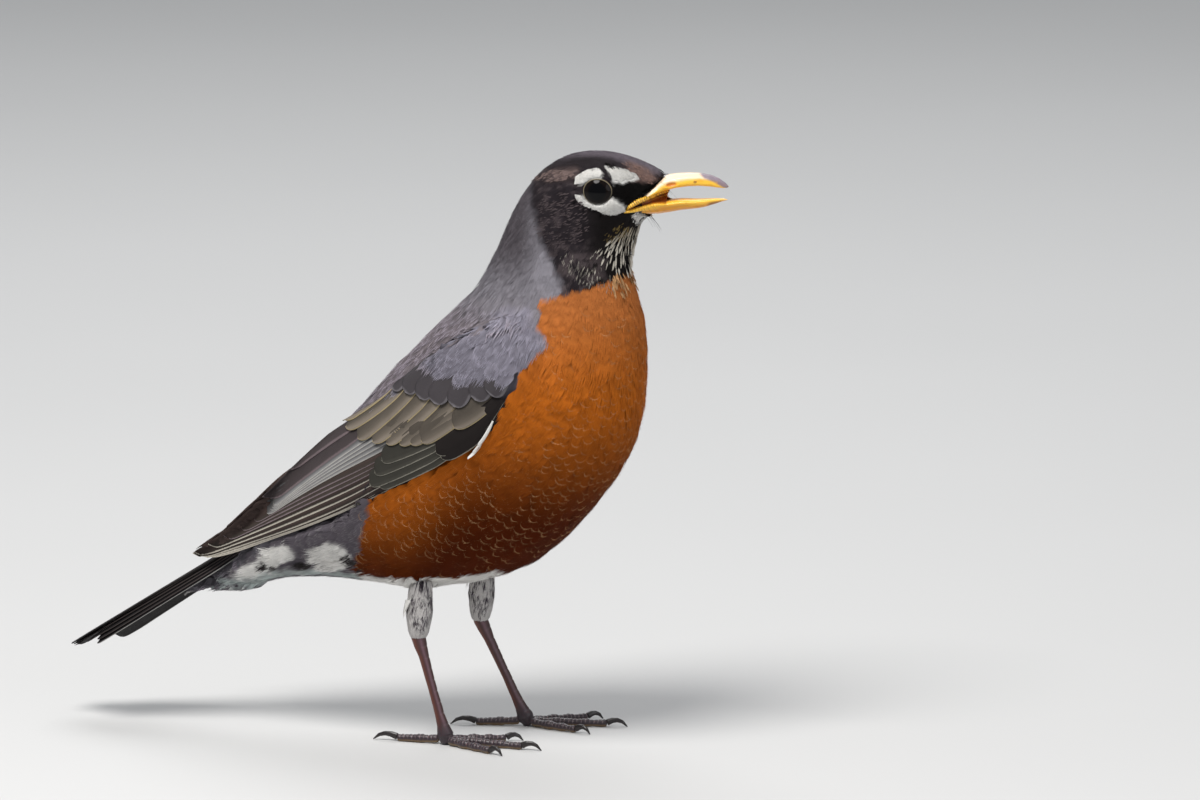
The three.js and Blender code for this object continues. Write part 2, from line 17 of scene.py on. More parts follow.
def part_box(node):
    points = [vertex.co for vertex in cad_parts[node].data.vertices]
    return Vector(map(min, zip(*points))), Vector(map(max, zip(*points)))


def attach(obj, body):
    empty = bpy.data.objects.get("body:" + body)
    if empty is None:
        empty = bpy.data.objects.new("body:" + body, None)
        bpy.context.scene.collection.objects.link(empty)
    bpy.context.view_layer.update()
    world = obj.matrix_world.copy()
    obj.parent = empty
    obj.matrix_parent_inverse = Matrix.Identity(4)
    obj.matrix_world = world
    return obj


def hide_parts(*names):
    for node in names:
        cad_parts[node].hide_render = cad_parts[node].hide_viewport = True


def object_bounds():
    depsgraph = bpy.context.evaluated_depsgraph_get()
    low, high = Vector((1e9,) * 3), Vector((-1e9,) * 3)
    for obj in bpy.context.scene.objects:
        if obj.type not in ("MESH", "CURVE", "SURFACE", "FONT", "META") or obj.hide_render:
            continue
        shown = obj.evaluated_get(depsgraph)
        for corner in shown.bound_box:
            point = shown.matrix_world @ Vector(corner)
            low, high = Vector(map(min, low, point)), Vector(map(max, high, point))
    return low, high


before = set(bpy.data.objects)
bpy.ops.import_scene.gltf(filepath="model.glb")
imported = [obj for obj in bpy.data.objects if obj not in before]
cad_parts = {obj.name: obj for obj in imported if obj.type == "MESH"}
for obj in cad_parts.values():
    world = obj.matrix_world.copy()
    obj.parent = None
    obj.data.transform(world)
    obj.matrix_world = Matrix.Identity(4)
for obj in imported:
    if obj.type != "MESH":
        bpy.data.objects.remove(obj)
CAD_BOX = [list(corner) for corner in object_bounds()]
MM = 0.001
SIDES = (("left", 1), ("right", -1))
rng = np.random.default_rng(11)


# ---------------------------------------------------------------- small helpers


def srgb(red, green, blue):
    """Linear colour from the usual 0 to 255 values."""
    values = np.array([red, green, blue], float) / 255
    return np.where(values <= 0.04045, values / 12.92, ((values + 0.055) / 1.055) ** 2.4)


def smoothstep(low, high, value):
    t = np.clip((value - low) / (high - low), 0, 1)
    return t * t * (3 - 2 * t)


def unit(vectors):
    length = np.linalg.norm(vectors, axis=-1, keepdims=True)
    return vectors / np.maximum(length, 1e-9)


def along_surface(vectors, normals):
    """Directions with what points out of the surface taken away."""
    return unit(vectors - normals * np.sum(vectors * normals, axis=-1, keepdims=True))


def blend(first, second, amount):
    """Mix of two colours or vectors by an array of amounts."""
    amount = np.asarray(amount)[..., None]
    return first * (1 - amount) + second * amount


def layered(colour, *layers):
    """A colour with others blended over it in turn, each by its own amounts."""
    for over, amount in layers:
        colour = blend(colour, over, amount)
    return colour


def bell(value, middle, width):
    return np.exp(-(((value - middle) / width) ** 2))


def smoothed(values, rounds=4):
    """Values evened out along their first axis, with the ends kept."""
    values = values.copy()
    for _ in range(rounds):
        values[1:-1] = (values[:-2] + 2 * values[1:-1] + values[2:]) / 4
    return values


def bilinear(table, row, column):
    """Values of a table of two axes, or of vectors in such a table, between its rows and columns."""
    i = np.minimum(row.astype(int), table.shape[0] - 2)
    j = np.minimum(column.astype(int), table.shape[1] - 2)
    fi, fj = row - i, column - j
    if table.ndim == 3:
        fi, fj = fi[..., None], fj[..., None]
    near, far = (table[k, j] * (1 - fj) + table[k, j + 1] * fj for k in (i, i + 1))
    return near * (1 - fi) + far * fi


def line_lengths(line):
    """Distance along a line from its first point to each of its points."""
    return np.concatenate([[0], np.cumsum(np.linalg.norm(np.diff(line, axis=0), axis=1))])


def along_line(where, stations, line):
    """Places along a line whose points lie at stations."""
    return np.column_stack([np.interp(where, stations, column) for column in line.T])


def both(*nodes):
    """Names of the left and right copies of nodes."""
    return [f"{node}_{side_name}" for node in nodes for side_name, _ in SIDES]


def node_box(name):
    """Lowest and highest corner of a node, in millimetres."""
    low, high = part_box(name)
    return np.array(low) / MM, np.array(high) / MM


def read(items, attribute, width, kind=np.float32):
    """One attribute of everything in a Blender collection, as rows of an array."""
    values = np.empty(len(items) * width, kind)
    items.foreach_get(attribute, values)
    return values.reshape(-1, width)


def joined(parts):
    """One set of points and faces from several."""
    counts = np.cumsum([0] + [len(points) for points, _ in parts])
    faces = [faces + count for (_, faces), count in zip(parts, counts)]
    return np.concatenate([points for points, _ in parts]), np.concatenate(faces)


def node_arrays(names):
    """Vertices in millimetres and triangles of one or more nodes, joined."""
    parts = []
    for name in names:
        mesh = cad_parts[name].data
        mesh.calc_loop_triangles()
        parts.append((read(mesh.vertices, "co", 3) / MM, read(mesh.loop_triangles, "vertices", 3, np.int32)))
    return joined(parts)


def lattice_noise(points, scale, seed):
    """Smooth noise from -1 to 1 over points, with features about scale millimetres across."""
    cell = points / scale
    base = np.floor(cell).astype(np.int64)
    part = cell - base
    part = part * part * (3 - 2 * part)
    total = np.zeros(len(points))
    for corner in range(8):
        step = np.array([corner & 1, corner >> 1 & 1, corner >> 2 & 1])
        at = base + step
        mixed = at[:, 0] * 73856093 ^ at[:, 1] * 19349663 ^ at[:, 2] * 83492791 ^ seed * 2654435761
        value = (mixed % 10007) / 5003.0 - 1
        total += value * np.prod(np.where(step, part, 1 - part), axis=1)
    return total


# ---------------------------------------------------------------- meshes and pieces


def new_mesh(name, points, faces, uvs=None, colours=None, smooth=True):
    """A mesh from millimetre points and equal-sided faces, with per-point UVs and colours."""
    points = np.asarray(points, np.float32)
    faces = np.asarray(faces, np.int32)
    sides = faces.shape[1]
    mesh = bpy.data.meshes.new(name)
    mesh.vertices.add(len(points))
    mesh.vertices.foreach_set("co", (points * MM).ravel())
    mesh.loops.add(faces.size)
    mesh.loops.foreach_set("vertex_index", faces.ravel())
    mesh.polygons.add(len(faces))
    mesh.polygons.foreach_set("loop_start", np.arange(len(faces), dtype=np.int32) * sides)
    mesh.polygons.foreach_set("loop_total", np.full(len(faces), sides, np.int32))
    mesh.update(calc_edges=True)
    mesh.polygons.foreach_set("use_smooth", np.full(len(faces), smooth))
    for key, values in (uvs or {}).items():
        layer = mesh.uv_layers.new(name=key)
        layer.data.foreach_set("uv", np.asarray(values, np.float32)[faces.ravel()].ravel())
    for key, values in (colours or {}).items():
        values = np.asarray(values, np.float32)
        if values.shape[1] == 3:
            values = np.column_stack([values, np.ones(len(values), np.float32)])
        layer = mesh.color_attributes.new(key, "FLOAT_COLOR", "POINT")
        layer.data.foreach_set("color", values.ravel())
    return mesh


def piece(name, mesh, material, replaces=()):
    """Adds a mesh to the bird: it rides on the one body and may stand for CAD nodes."""
    obj = bpy.data.objects.new(name, mesh)
    bpy.context.scene.collection.objects.link(obj)
    mesh.materials.append(material)
    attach(obj, "root")
    if replaces:
        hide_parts(*replaces)
    return obj


def tree_of(points, faces):
    return BVHTree.FromPolygons([Vector(p) for p in points.tolist()], faces.tolist())


# ---------------------------------------------------------------- landmarks

EYE = {side_name: sum(node_box(f"eye_{side_name}")) / 2 for side_name, _ in SIDES}
EYE_X, EYE_Y, EYE_Z = EYE["left"]
EYE_RADIUS = (node_box("eye_left")[1][0] - node_box("eye_left")[0][0]) / 2

BILL_LOW, BILL_HIGH = node_box("bill_upper")
LOWER_BILL_LOW, LOWER_BILL_HIGH = node_box("bill_lower")
HEAD_LOW, HEAD_HIGH = node_box("head")
NECK_LOW, NECK_HIGH = node_box("neck")
TRUNK_LOW, TRUNK_HIGH = node_box("trunk")
RUMP_LOW, RUMP_HIGH = node_box("rump")
TAIL_LOW, _ = node_box("tail")

GAPE_X = BILL_LOW[0]  # corner of the mouth
GAPE_Z = BILL_LOW[2]
BILL_BASE = np.array([HEAD_HIGH[0], 0, (LOWER_BILL_LOW[2] + BILL_HIGH[2]) / 2])

# The line that the feathers follow, from the bill to the tip of the tail.
SPINE_KNOTS = np.array(
    [
        BILL_BASE,
        (HEAD_LOW + HEAD_HIGH) / 2 * [1, 0, 1],
        (NECK_LOW + NECK_HIGH) / 2 * [1, 0, 1],
        [(NECK_LOW[0] + NECK_HIGH[0]) / 2 - 7, 0, NECK_LOW[2] - 4],
        (TRUNK_LOW + TRUNK_HIGH) / 2 * [1, 0, 1],
        [TRUNK_LOW[0] + 17, 0, TRUNK_LOW[2] + 26],
        [(RUMP_LOW[0] + RUMP_HIGH[0]) / 2 + 3, 0, (RUMP_LOW[2] + RUMP_HIGH[2]) / 2 - 6],
        [TAIL_LOW[0], 0, TAIL_LOW[2]],
    ]
)
SPINE_STEPS = 90


def smooth_line(knots, count):
    """Points and directions along a Catmull-Rom line through the knots."""
    padded = np.vstack([2 * knots[0] - knots[1], knots, 2 * knots[-1] - knots[-2]])
    position = np.linspace(0, len(knots) - 1 - 1e-6, count)
    index = position.astype(int)
    t = (position - index)[:, None]
    a, b, c, d = (padded[index + k] for k in range(4))
    points = 0.5 * (2 * b + (c - a) * t + (2 * a - 5 * b + 4 * c - d) * t**2 + (3 * b - a - 3 * c + d) * t**3)
    return points, unit(np.gradient(points, axis=0))


SPINE, SPINE_DIRECTION = smooth_line(SPINE_KNOTS, SPINE_STEPS)
SPINE_LENGTH = line_lengths(SPINE)


def along_spine(points):
    """Distance from the bill along the spine, and the direction of the spine, near each point."""
    offset = points[:, None, :] - SPINE[None]
    weight = (np.sum(offset**2, axis=2) + 4.0) ** -2.5
    weight /= weight.sum(axis=1, keepdims=True)
    return weight @ SPINE_LENGTH, unit(weight @ SPINE_DIRECTION)


# ---------------------------------------------------------------- closed surfaces


def remeshed(points, faces, voxel, rounds):
    """Closed surfaces joined into one of even quads and smoothed: points, quads and normals."""
    source = new_mesh("shell_source", points, faces, smooth=False)
    obj = bpy.data.objects.new("shell_source", source)
    bpy.context.scene.collection.objects.link(obj)
    remesh = obj.modifiers.new("remesh", "REMESH")
    remesh.mode = "VOXEL"
    remesh.voxel_size = voxel * MM
    smooth = obj.modifiers.new("smooth", "SMOOTH")
    smooth.factor = 0.5
    smooth.iterations = rounds
    made = bpy.data.meshes.new_from_object(obj.evaluated_get(bpy.context.evaluated_depsgraph_get()))
    places = read(made.vertices, "co", 3) / MM
    normals = read(made.vertices, "normal", 3)
    quads = read(made.loops, "vertex_index", 1, np.int32).reshape(-1, 4)
    bpy.data.objects.remove(obj)
    bpy.data.meshes.remove(source)
    bpy.data.meshes.remove(made)
    return places, quads, normals


def solid_shell(names, grow, voxel, rounds):
    """One smooth closed surface round copies of some nodes: points, quads and normals."""
    points, faces = node_arrays(names)
    source = new_mesh("shell_source", points, faces, smooth=False)
    normals = read(source.vertices, "normal", 3)
    bpy.data.meshes.remove(source)
    return remeshed(points + normals * grow, faces, voxel, rounds)


def grid_faces(rows, columns, closed_columns):
    """Triangles of a grid of points, with its columns joined round if closed."""
    faces = []
    for i in range(rows - 1):
        for j in range(columns - (0 if closed_columns else 1)):
            k, k2 = i * columns + j, i * columns + (j + 1) % columns
            faces += [(k, k2, k2 + columns), (k, k2 + columns, k + columns)]
    return np.array(faces)


def tube(path, radii, sides=6):
    """Tapering closed tube along a path: points and triangles."""
    tangent = unit(np.gradient(path, axis=0))
    side_way = unit(np.cross(tangent, [0.0, 0.3, 1.0]))
    other = np.cross(tangent, side_way)
    turn = np.linspace(0, math.tau, sides, endpoint=False)[None, :, None]
    circle = np.cos(turn) * side_way[:, None] + np.sin(turn) * other[:, None]
    points = (path[:, None] + circle * np.asarray(radii)[:, None, None]).reshape(-1, 3)
    return points, grid_faces(len(path), sides, True)


def vertex_normals(points, quads):
    """Outward normals of a quad mesh at its points."""
    corners = points[quads]
    face = np.cross(corners[:, 2] - corners[:, 0], corners[:, 3] - corners[:, 1])
    total = np.zeros_like(points)
    for k in range(4):
        np.add.at(total, quads[:, k], face)
    return unit(total)


class Surface:
    """A mesh that answers where its nearest point is, and which way is out there."""

    def __init__(self, points, faces, normals):
        self.points, self.faces, self.normals = points, faces, normals
        self.tree = tree_of(points, faces)

    def nearest(self, wanted):
        flat = wanted.reshape(-1, 3)
        place = np.empty_like(flat)
        face = np.empty(len(flat), int)
        for k, point in enumerate(flat.tolist()):
            place[k], _, face[k], _ = self.tree.find_nearest(point)
        corners = self.faces[face]
        gap = np.linalg.norm(self.points[corners] - place[:, None], axis=2)
        weight = 1 / (gap + 0.05)
        normal = unit(np.sum(self.normals[corners] * weight[..., None], axis=1))
        return place.reshape(wanted.shape), normal.reshape(wanted.shape)


# ---------------------------------------------------------------- the skin

FLESH = ["head", "neck", "trunk", "rump"]
WING_NODES = ["wing_coverts", "wing_secondaries", "wing_primaries", "wing_tip"]
SHANK_REACH = np.array([1.2, 0.0, 24.0])  # from a leg's joint up into the body
COLLAR_HEIGHT = 4.25  # of the skin at the eyelids, out from the eye's middle
COLLAR_REACH = (9.5, 4.6)  # distances from the eye where the collar begins and is whole
SHANK_WIDTH = ([0, 0.08, 0.3, 0.6, 1], [2.5, 3.3, 4.1, 3.6, 3.6])  # shares of the reach, radii
SHELL_GROWTH = 0.3  # the nodes' copies are grown by this to join, and the skin is drawn in by it again


def limb(name, steps=12):
    """Middle line and radius of a long node, from one end to the other."""
    points, _, _ = solid_shell([name], grow=0.02, voxel=0.35, rounds=1)
    axis = np.linalg.svd(points - points.mean(axis=0), full_matrices=False)[2][0]
    along = (points - points.mean(axis=0)) @ axis
    line, radius = [], []
    for station in np.linspace(along.min() + 0.4, along.max() - 0.4, steps):
        near = points[np.abs(along - station) < 0.6]
        line.append((near.min(axis=0) + near.max(axis=0)) / 2)
        radius.append(np.median(np.linalg.norm(np.cross(near - line[-1], axis), axis=1)))
    return np.array(line), np.array(radius)


def limb_tube(line, radius, before, after):
    """Closed tube round a limb's line, made longer at its ends by before and after."""
    way = unit(np.gradient(line, axis=0))
    line = np.concatenate([[line[0] - way[0] * before], line, [line[-1] + way[-1] * after]])
    radius = np.concatenate([[radius[0] * 0.9], radius, [radius[-1] * 0.9]])
    line = np.concatenate([[line[0] - way[0] * 0.2], line, [line[-1] + way[-1] * 0.2]])
    radius = np.concatenate([[0.02], radius, [0.02]])
    return tube(line, radius, 20)


def shank(side_name):
    """Middle line and radius of the feathered part of a leg, from its joint up into the body."""
    tarsus, _ = limb(f"tarsus_{side_name}")
    joint = tarsus[tarsus[:, 2].argmax()]
    t = np.linspace(0, 1, 14)
    return joint + t[:, None] * SHANK_REACH, np.interp(t, *SHANK_WIDTH)


SHANKS = {side_name: shank(side_name) for side_name, _ in SIDES}


def coat_depth(points):
    """How far the skin lies inside the outline of the plumage."""
    from_bill = np.linalg.norm(points - BILL_BASE, axis=1)
    body = 0.55 + 0.5 * smoothstep(8, 30, from_bill) + 0.75 * smoothstep(30, 60, from_bill)
    return np.where(points[:, 2] < TRUNK_LOW[2] - 2, 0.5, body)


def drawn_in(points, quads, normals):
    """A shell of nodes drawn in by the depth of the coat: points, quads and normals."""
    return points - normals * (coat_depth(points) + SHELL_GROWTH)[:, None], quads, normals


def from_opening(dx, dz):
    """Distance from the middle of the eye's opening in the side view, stretched to make it round."""
    return np.hypot(dx - 0.4, (dz - 0.2) * 1.12)


def from_eye(points):
    return from_opening(points[:, 0] - EYE_X, points[:, 2] - EYE_Z)


def eye_collar(points):
    """Makes the skin round the eye run smoothly to the rim of the eyelids."""
    offset = points - EYE["left"]
    collar = EYE_Y + COLLAR_HEIGHT - 0.09 * offset[:, 0] - 0.05 * offset[:, 2] - np.abs(points[:, 1])
    rise = np.clip(collar, -4, 4) * smoothstep(*COLLAR_REACH, from_eye(points)) * (np.abs(points[:, 1]) > 4)
    points[:, 1] += rise * np.sign(points[:, 1])
    return points


def slim_legs(points):
    """Draws the legs in to their feathered width, below the body's underside."""
    middle = points[(np.abs(points[:, 1]) < 4) & (np.abs(points[:, 0] - SHANKS["left"][0][0, 0]) < 6)]
    for line, radius in SHANKS.values():
        centre = along_line(points[:, 2], line[:, 2], line[:, :2])
        offset = points[:, :2] - centre
        reach = np.linalg.norm(offset, axis=1)
        wanted = np.interp(points[:, 2], line[:, 2], radius) - 0.85
        near = reach < 14
        share = smoothstep(2.6, 0.2, points[:, 2] - middle[:, 2].min()) * near
        drawn = np.minimum(reach, wanted) * share + reach * (1 - share)
        points[:, :2] = np.where(near[:, None], centre + offset * (drawn / reach)[:, None], points[:, :2])
    return points


def skin_shell():
    """Skin inside the plumage's outline, open to the bill."""
    nodes = FLESH + both("thigh", "wing_coverts", "eye")
    points, quads, _ = drawn_in(*solid_shell(nodes, SHELL_GROWTH, voxel=1.0, rounds=5))
    in_mouth = (points[:, 2] < BILL_BASE[2] + 1.5) & (points[:, 2] > TRUNK_HIGH[2])
    points[:, 0] = np.where(in_mouth, np.minimum(points[:, 0], BILL_LOW[0] + 5.4), points[:, 0])
    points = slim_legs(eye_collar(points))
    return Surface(points, quads, vertex_normals(points, quads))


skin = skin_shell()


# ---------------------------------------------------------------- the wing sheet


def wing_solid(side_name):
    """One folded wing as a closed surface."""
    nodes = [f"{node}_{side_name}" for node in WING_NODES]
    return solid_shell(nodes, SHELL_GROWTH, voxel=0.8, rounds=6)


class WingSheet:
    """The outer face of the folded right wing as a smooth grid, from the bend (s = 0) to the tip
    (s = 1) and from the upper edge (w = 0) to the lower edge (w = 1)."""

    ROWS = 70
    COLUMNS = 25
    MARGIN = 0.25  # from the wing's edges to the grid

    def __init__(self):
        points, quads, _ = wing_solid("right")
        flat = points[:, [0, 2]]
        self.bend = np.array([flat[:, 0].max(), flat[flat[:, 0] > flat[:, 0].max() - 1.5][:, 1].mean()])
        tip = flat[flat[:, 0].argmin()]
        self.length = np.linalg.norm(tip - self.bend)
        self.axis = (tip - self.bend) / self.length
        self.down = np.array([-self.axis[1], self.axis[0]])
        if self.down[1] > 0:
            self.down = -self.down
        self.find_edges(flat - self.bend)
        self.grid = self.find_face(tree_of(points, quads))
        self.normals = unit(np.cross(np.gradient(self.grid, axis=0), np.gradient(self.grid, axis=1)))
        if self.normals[:, :, 1].mean() > 0:
            self.normals = -self.normals

    def find_edges(self, flat):
        """Upper and lower edge of the wing at stations along it, evened out behind the middle."""
        along, across = flat @ self.axis, flat @ self.down
        self.stations = np.linspace(0.4, self.length - 0.6, self.ROWS)
        slices = [across[np.abs(along - station) < 1.3] for station in self.stations]
        even = smoothstep(0.5, 0.62, np.linspace(0, 1, self.ROWS))
        edges = []
        for edge in ([part.min() for part in slices], [part.max() for part in slices]):
            edge = smoothed(np.array(edge))
            for _ in range(14):
                edge = edge * (1 - even) + smoothed(edge) * even
            edges.append(edge)
        self.low, self.high = edges

    def find_face(self, tree):
        """Places on the outer face between the edges, smoothed outward."""
        grid = np.zeros((self.ROWS, self.COLUMNS, 3))
        for i, station in enumerate(self.stations):
            low, high = self.low[i] + self.MARGIN, self.high[i] - self.MARGIN
            for j in range(self.COLUMNS):
                reach = low + (high - low) * j / (self.COLUMNS - 1)
                x, z = self.bend + self.axis * station + self.down * reach
                hit = tree.ray_cast(Vector((x, -80, z)), Vector((0, 1, 0)))[0]
                if hit is None:
                    hit = tree.find_nearest(Vector((x, -20, z)))[0]
                grid[i, j] = (x, hit.y, z)
        out = grid[:, :, 1]
        for _ in range(6):
            out[1:-1, 1:-1] = (out[:-2, 1:-1] + out[2:, 1:-1] + out[1:-1, :-2] + out[1:-1, 2:]) / 4
            for edge in (0, -1):
                out[:, edge] = smoothed(out[:, edge], 8)
        return grid

    def sample(self, table, s, w):
        """Values of a table over the grid; s and w may run a little past 0 and 1."""
        return bilinear(table, np.clip(s, 0, 1) * (self.ROWS - 1), np.clip(w, 0, 1) * (self.COLUMNS - 1))

    def edges(self, along):
        """Upper and lower edge in millimetres down from the bend, at places along the wing."""
        return np.interp(along, self.stations, self.low), np.interp(along, self.stations, self.high)

    def shares(self, along, reach):
        """s and w of places along and down from the bend."""
        low, high = self.edges(along)
        first, last = self.stations[0], self.stations[-1]
        return (along - first) / (last - first), (reach - low) / (high - low)

    def coordinates(self, points):
        """Where points are on the wing: s, w, and 1 beside its outer face or 0 away from it."""
        flat = points[:, [0, 2]] - self.bend
        s, w = self.shares(flat @ self.axis, flat @ self.down)
        outside = np.abs(self.sample(self.grid, s, w)[:, 1])
        return s, w, smoothstep(-5, -3, np.abs(points[:, 1]) - outside) * (s > -0.03)

    def plane(self, s, w):
        """Place in the side plane, in millimetres along and down from the bend, of s and w."""
        along = self.stations[0] + s * (self.stations[-1] - self.stations[0])
        low, high = self.edges(along)
        return np.array([along, low + w * (high - low)])

    def upper_edge(self, along):
        return self.edges(along)[0] + 0.1

    def lay(self, along, reach, lift, side):
        """Points on the right (-1) or left (1) wing for places in the side plane."""
        low, high = self.edges(along)
        reach = np.clip(reach, low - 0.2, high + 0.6)
        s, w = self.shares(along, reach)
        flat = self.bend + along[..., None] * self.axis + reach[..., None] * self.down
        point = np.stack([flat[..., 0], self.sample(self.grid, s, w)[..., 1], flat[..., 1]], -1)
        point = point + self.sample(self.normals, s, w) * lift[..., None]
        point[..., 1] *= -side
        return point


wing = WingSheet()


# ---------------------------------------------------------------- surfaces that feathers lie on


def wing_shell(side_name):
    """The whole folded wing as a closed surface inside its outline."""
    points, quads, normals = wing_solid(side_name)
    depth = SHELL_GROWTH + 0.75 * (0.3 + 0.7 * smoothstep(-45, -20, points[:, 0]))
    points = points - normals * depth[:, None]
    points[:, 1] -= 1.1 * np.sign(points[:, 1])
    return Surface(points, quads, normals)


wing_body = {side_name: wing_shell(side_name) for side_name, _ in SIDES}
hull_shell = solid_shell(FLESH + both(*WING_NODES), SHELL_GROWTH, voxel=1.6, rounds=14)
hull = Surface(*hull_shell)
mantle_surface = Surface(*drawn_in(*hull_shell))


# ---------------------------------------------------------------- colours of the plumage

# The first three oranges run from painted light at the top of the breast to painted shade under the belly.
ORANGE_LIT_HIGH = srgb(196, 118, 62)
ORANGE_MID = srgb(198, 106, 28)
ORANGE_SHADED_LOW = srgb(80, 29, 4)
ORANGE_RIM = srgb(222, 172, 122)
BLACK = srgb(14, 12, 12)
CROWN = srgb(44, 39, 42)
# Painted lilac sheen for the top of the crown:
CROWN_PAINTED_SHEEN = srgb(104, 96, 104)
FOREHEAD = srgb(136, 110, 102)
BROW_BUFF = srgb(128, 110, 106)
EAR = srgb(44, 39, 43)
EAR_STREAK = srgb(92, 82, 84)
BIB = srgb(27, 24, 23)
NAPE = srgb(84, 79, 84)
NECK_SIDE = srgb(148, 145, 153)
MANTLE = srgb(128, 119, 124)
MANTLE_RIM = srgb(170, 160, 172)
RUMP = srgb(104, 101, 107)
COVERT_BLUE = srgb(154, 150, 164)
WHITE = srgb(242, 240, 236)
STREAK_WHITE = srgb(214, 207, 194)
BUFF = srgb(122, 104, 66)
VENT_GREY = srgb(98, 92, 99)
UNDERTAIL = srgb(184, 194, 192)
THIGH = srgb(212, 208, 206)
THIGH_DARK = srgb(78, 70, 78)

EYE_OPENING = 3.9  # radius of the eye that shows
BREAST_LINE_X = GAPE_X  # the orange starts lower and lower behind the throat
BREAST_LINE_Z = GAPE_Z - 20
BREAST_LINE_SLOPE = 0.26
WING_LINE_X, WING_LINE_Z = wing.bend[0] - 3, wing.bend[1]
WING_LINE_SLOPE = 0.716
ORANGE_END_X = -5.0

# The lips at the corner of the mouth, from it forward, in millimetres from the eye in the middle plane.
UPPER_LIP = np.array([(7.6, -5.9), (9.6, -4.2), (11.8, -2.9), (15.0, -1.8), (18.4, -0.8)])
LOWER_LIP = np.array([(7.6, -6.2), (10.0, -5.7), (13.2, -4.95), (16.0, -4.5), (18.8, -4.3)])

# White marks of the face, in millimetres forward of and above the middle of the eye.
EYE_ARC_ABOVE = [
    (-6.0, 2.0), (-5.7, 3.9), (-3.9, 5.2), (-2.0, 6.0), (0.0, 6.5), (1.2, 6.3), (1.6, 5.2), (1.2, 3.6),
    (-1.6, 3.4), (-3.2, 2.6), (-4.4, 2.2),
]  # fmt: skip
EYE_ARC_BELOW = [
    (-6.1, -1.0), (-4.9, -1.0), (-3.9, -1.4), (-2.9, -2.6), (-1.5, -3.3), (0.4, -3.5), (2.4, -3.0),
    (3.9, -2.0), (5.6, -2.2), (6.8, -3.1), (8.0, -3.9), (8.5, -4.9), (7.6, -5.1), (5.7, -6.0),
    (4.2, -6.2), (2.3, -5.9), (0.9, -5.2), (-1.6, -4.5), (-3.5, -3.9), (-5.4, -2.6),
]  # fmt: skip
EYE_PATCH = [
    (3.0, 6.6), (3.4, 7.7), (4.9, 7.3), (6.3, 7.5), (8.0, 6.9), (9.5, 6.6), (10.4, 5.8), (11.9, 5.5),
    (12.6, 4.3), (10.6, 3.7), (8.7, 3.4), (7.6, 2.7), (6.1, 2.9), (5.0, 3.4), (4.5, 4.8), (3.8, 5.8),
]  # fmt: skip
CHIN_PATCH = [(10.6, -6.3), (14.8, -5.4), (15.4, -7.8), (12.6, -8.8), (11.0, -7.6)]

# White tufts of the vent: middle, half sizes and turn in the side view.
VENT_WHITE = (
    ((-14.7, 55.0), (5.2, 4.6), 20),
    ((-32.0, 54.3), (4.2, 2.5), 15),
    ((-41.0, 48.6), (8.0, 2.0), 24),
)

# The marks were measured in an upright plane that touches the eye, looking a little from the front
# and from above, so a place nearer the middle of the head shows further forward and higher.
EYE_PLANE = EYE_Y + 4.3
PLANE_SHIFT = (0.268, 0.17)


def underside_height(x):
    """Height of the body's lowest skin near a place along the middle plane."""
    near = (np.abs(skin.points[:, 0] - x) < 2.5) & (np.abs(skin.points[:, 1]) < 4)
    return skin.points[near][:, 2].min(initial=60)


UNDER_X = np.arange(-60.0, 60.0, 3.0)
UNDER_Z = np.array([underside_height(x) for x in UNDER_X])


def below_body(points):
    return points[:, 2] < np.interp(points[:, 0], UNDER_X, UNDER_Z) - 0.3


def in_ellipse(x, z, centre, size, turn):
    """Below 1 inside an ellipse in the side view, turned anticlockwise by degrees."""
    angle = math.radians(turn)
    dx, dz = x - centre[0], z - centre[1]
    along = dx * math.cos(angle) + dz * math.sin(angle)
    across = dz * math.cos(angle) - dx * math.sin(angle)
    return np.hypot(along / size[0], across / size[1])


def within(x, z, outline, soft=0.2):
    """From 0 outside a closed outline in the side view to 1 inside it."""
    gap, crossings = np.full(len(x), 1e9), np.zeros(len(x), int)
    for (ax, az), (bx, bz) in zip(outline, outline[1:] + outline[:1]):
        dx, dz = bx - ax, bz - az
        t = np.clip(((x - ax) * dx + (z - az) * dz) / (dx**2 + dz**2), 0, 1)
        gap = np.minimum(gap, np.hypot(x - ax - t * dx, z - az - t * dz))
        if az != bz:
            crossings += ((az > z) != (bz > z)) & (x < ax + (z - az) * dx / dz)
    return smoothstep(-soft, soft, gap * np.where(crossings % 2, 1, -1))


def wing_front(s):
    """How far down the wing its own coverts reach before the breast's feathers cover it."""
    return 0.77 + 1.3 * np.clip(s, 0, 0.17)


def seen_from_eye(x, y, z):
    """Millimetres forward of and above the eye, as seen in the eye's plane."""
    behind = EYE_PLANE - y
    return x - EYE_X + PLANE_SHIFT[0] * behind, z - EYE_Z + PLANE_SHIFT[1] * behind


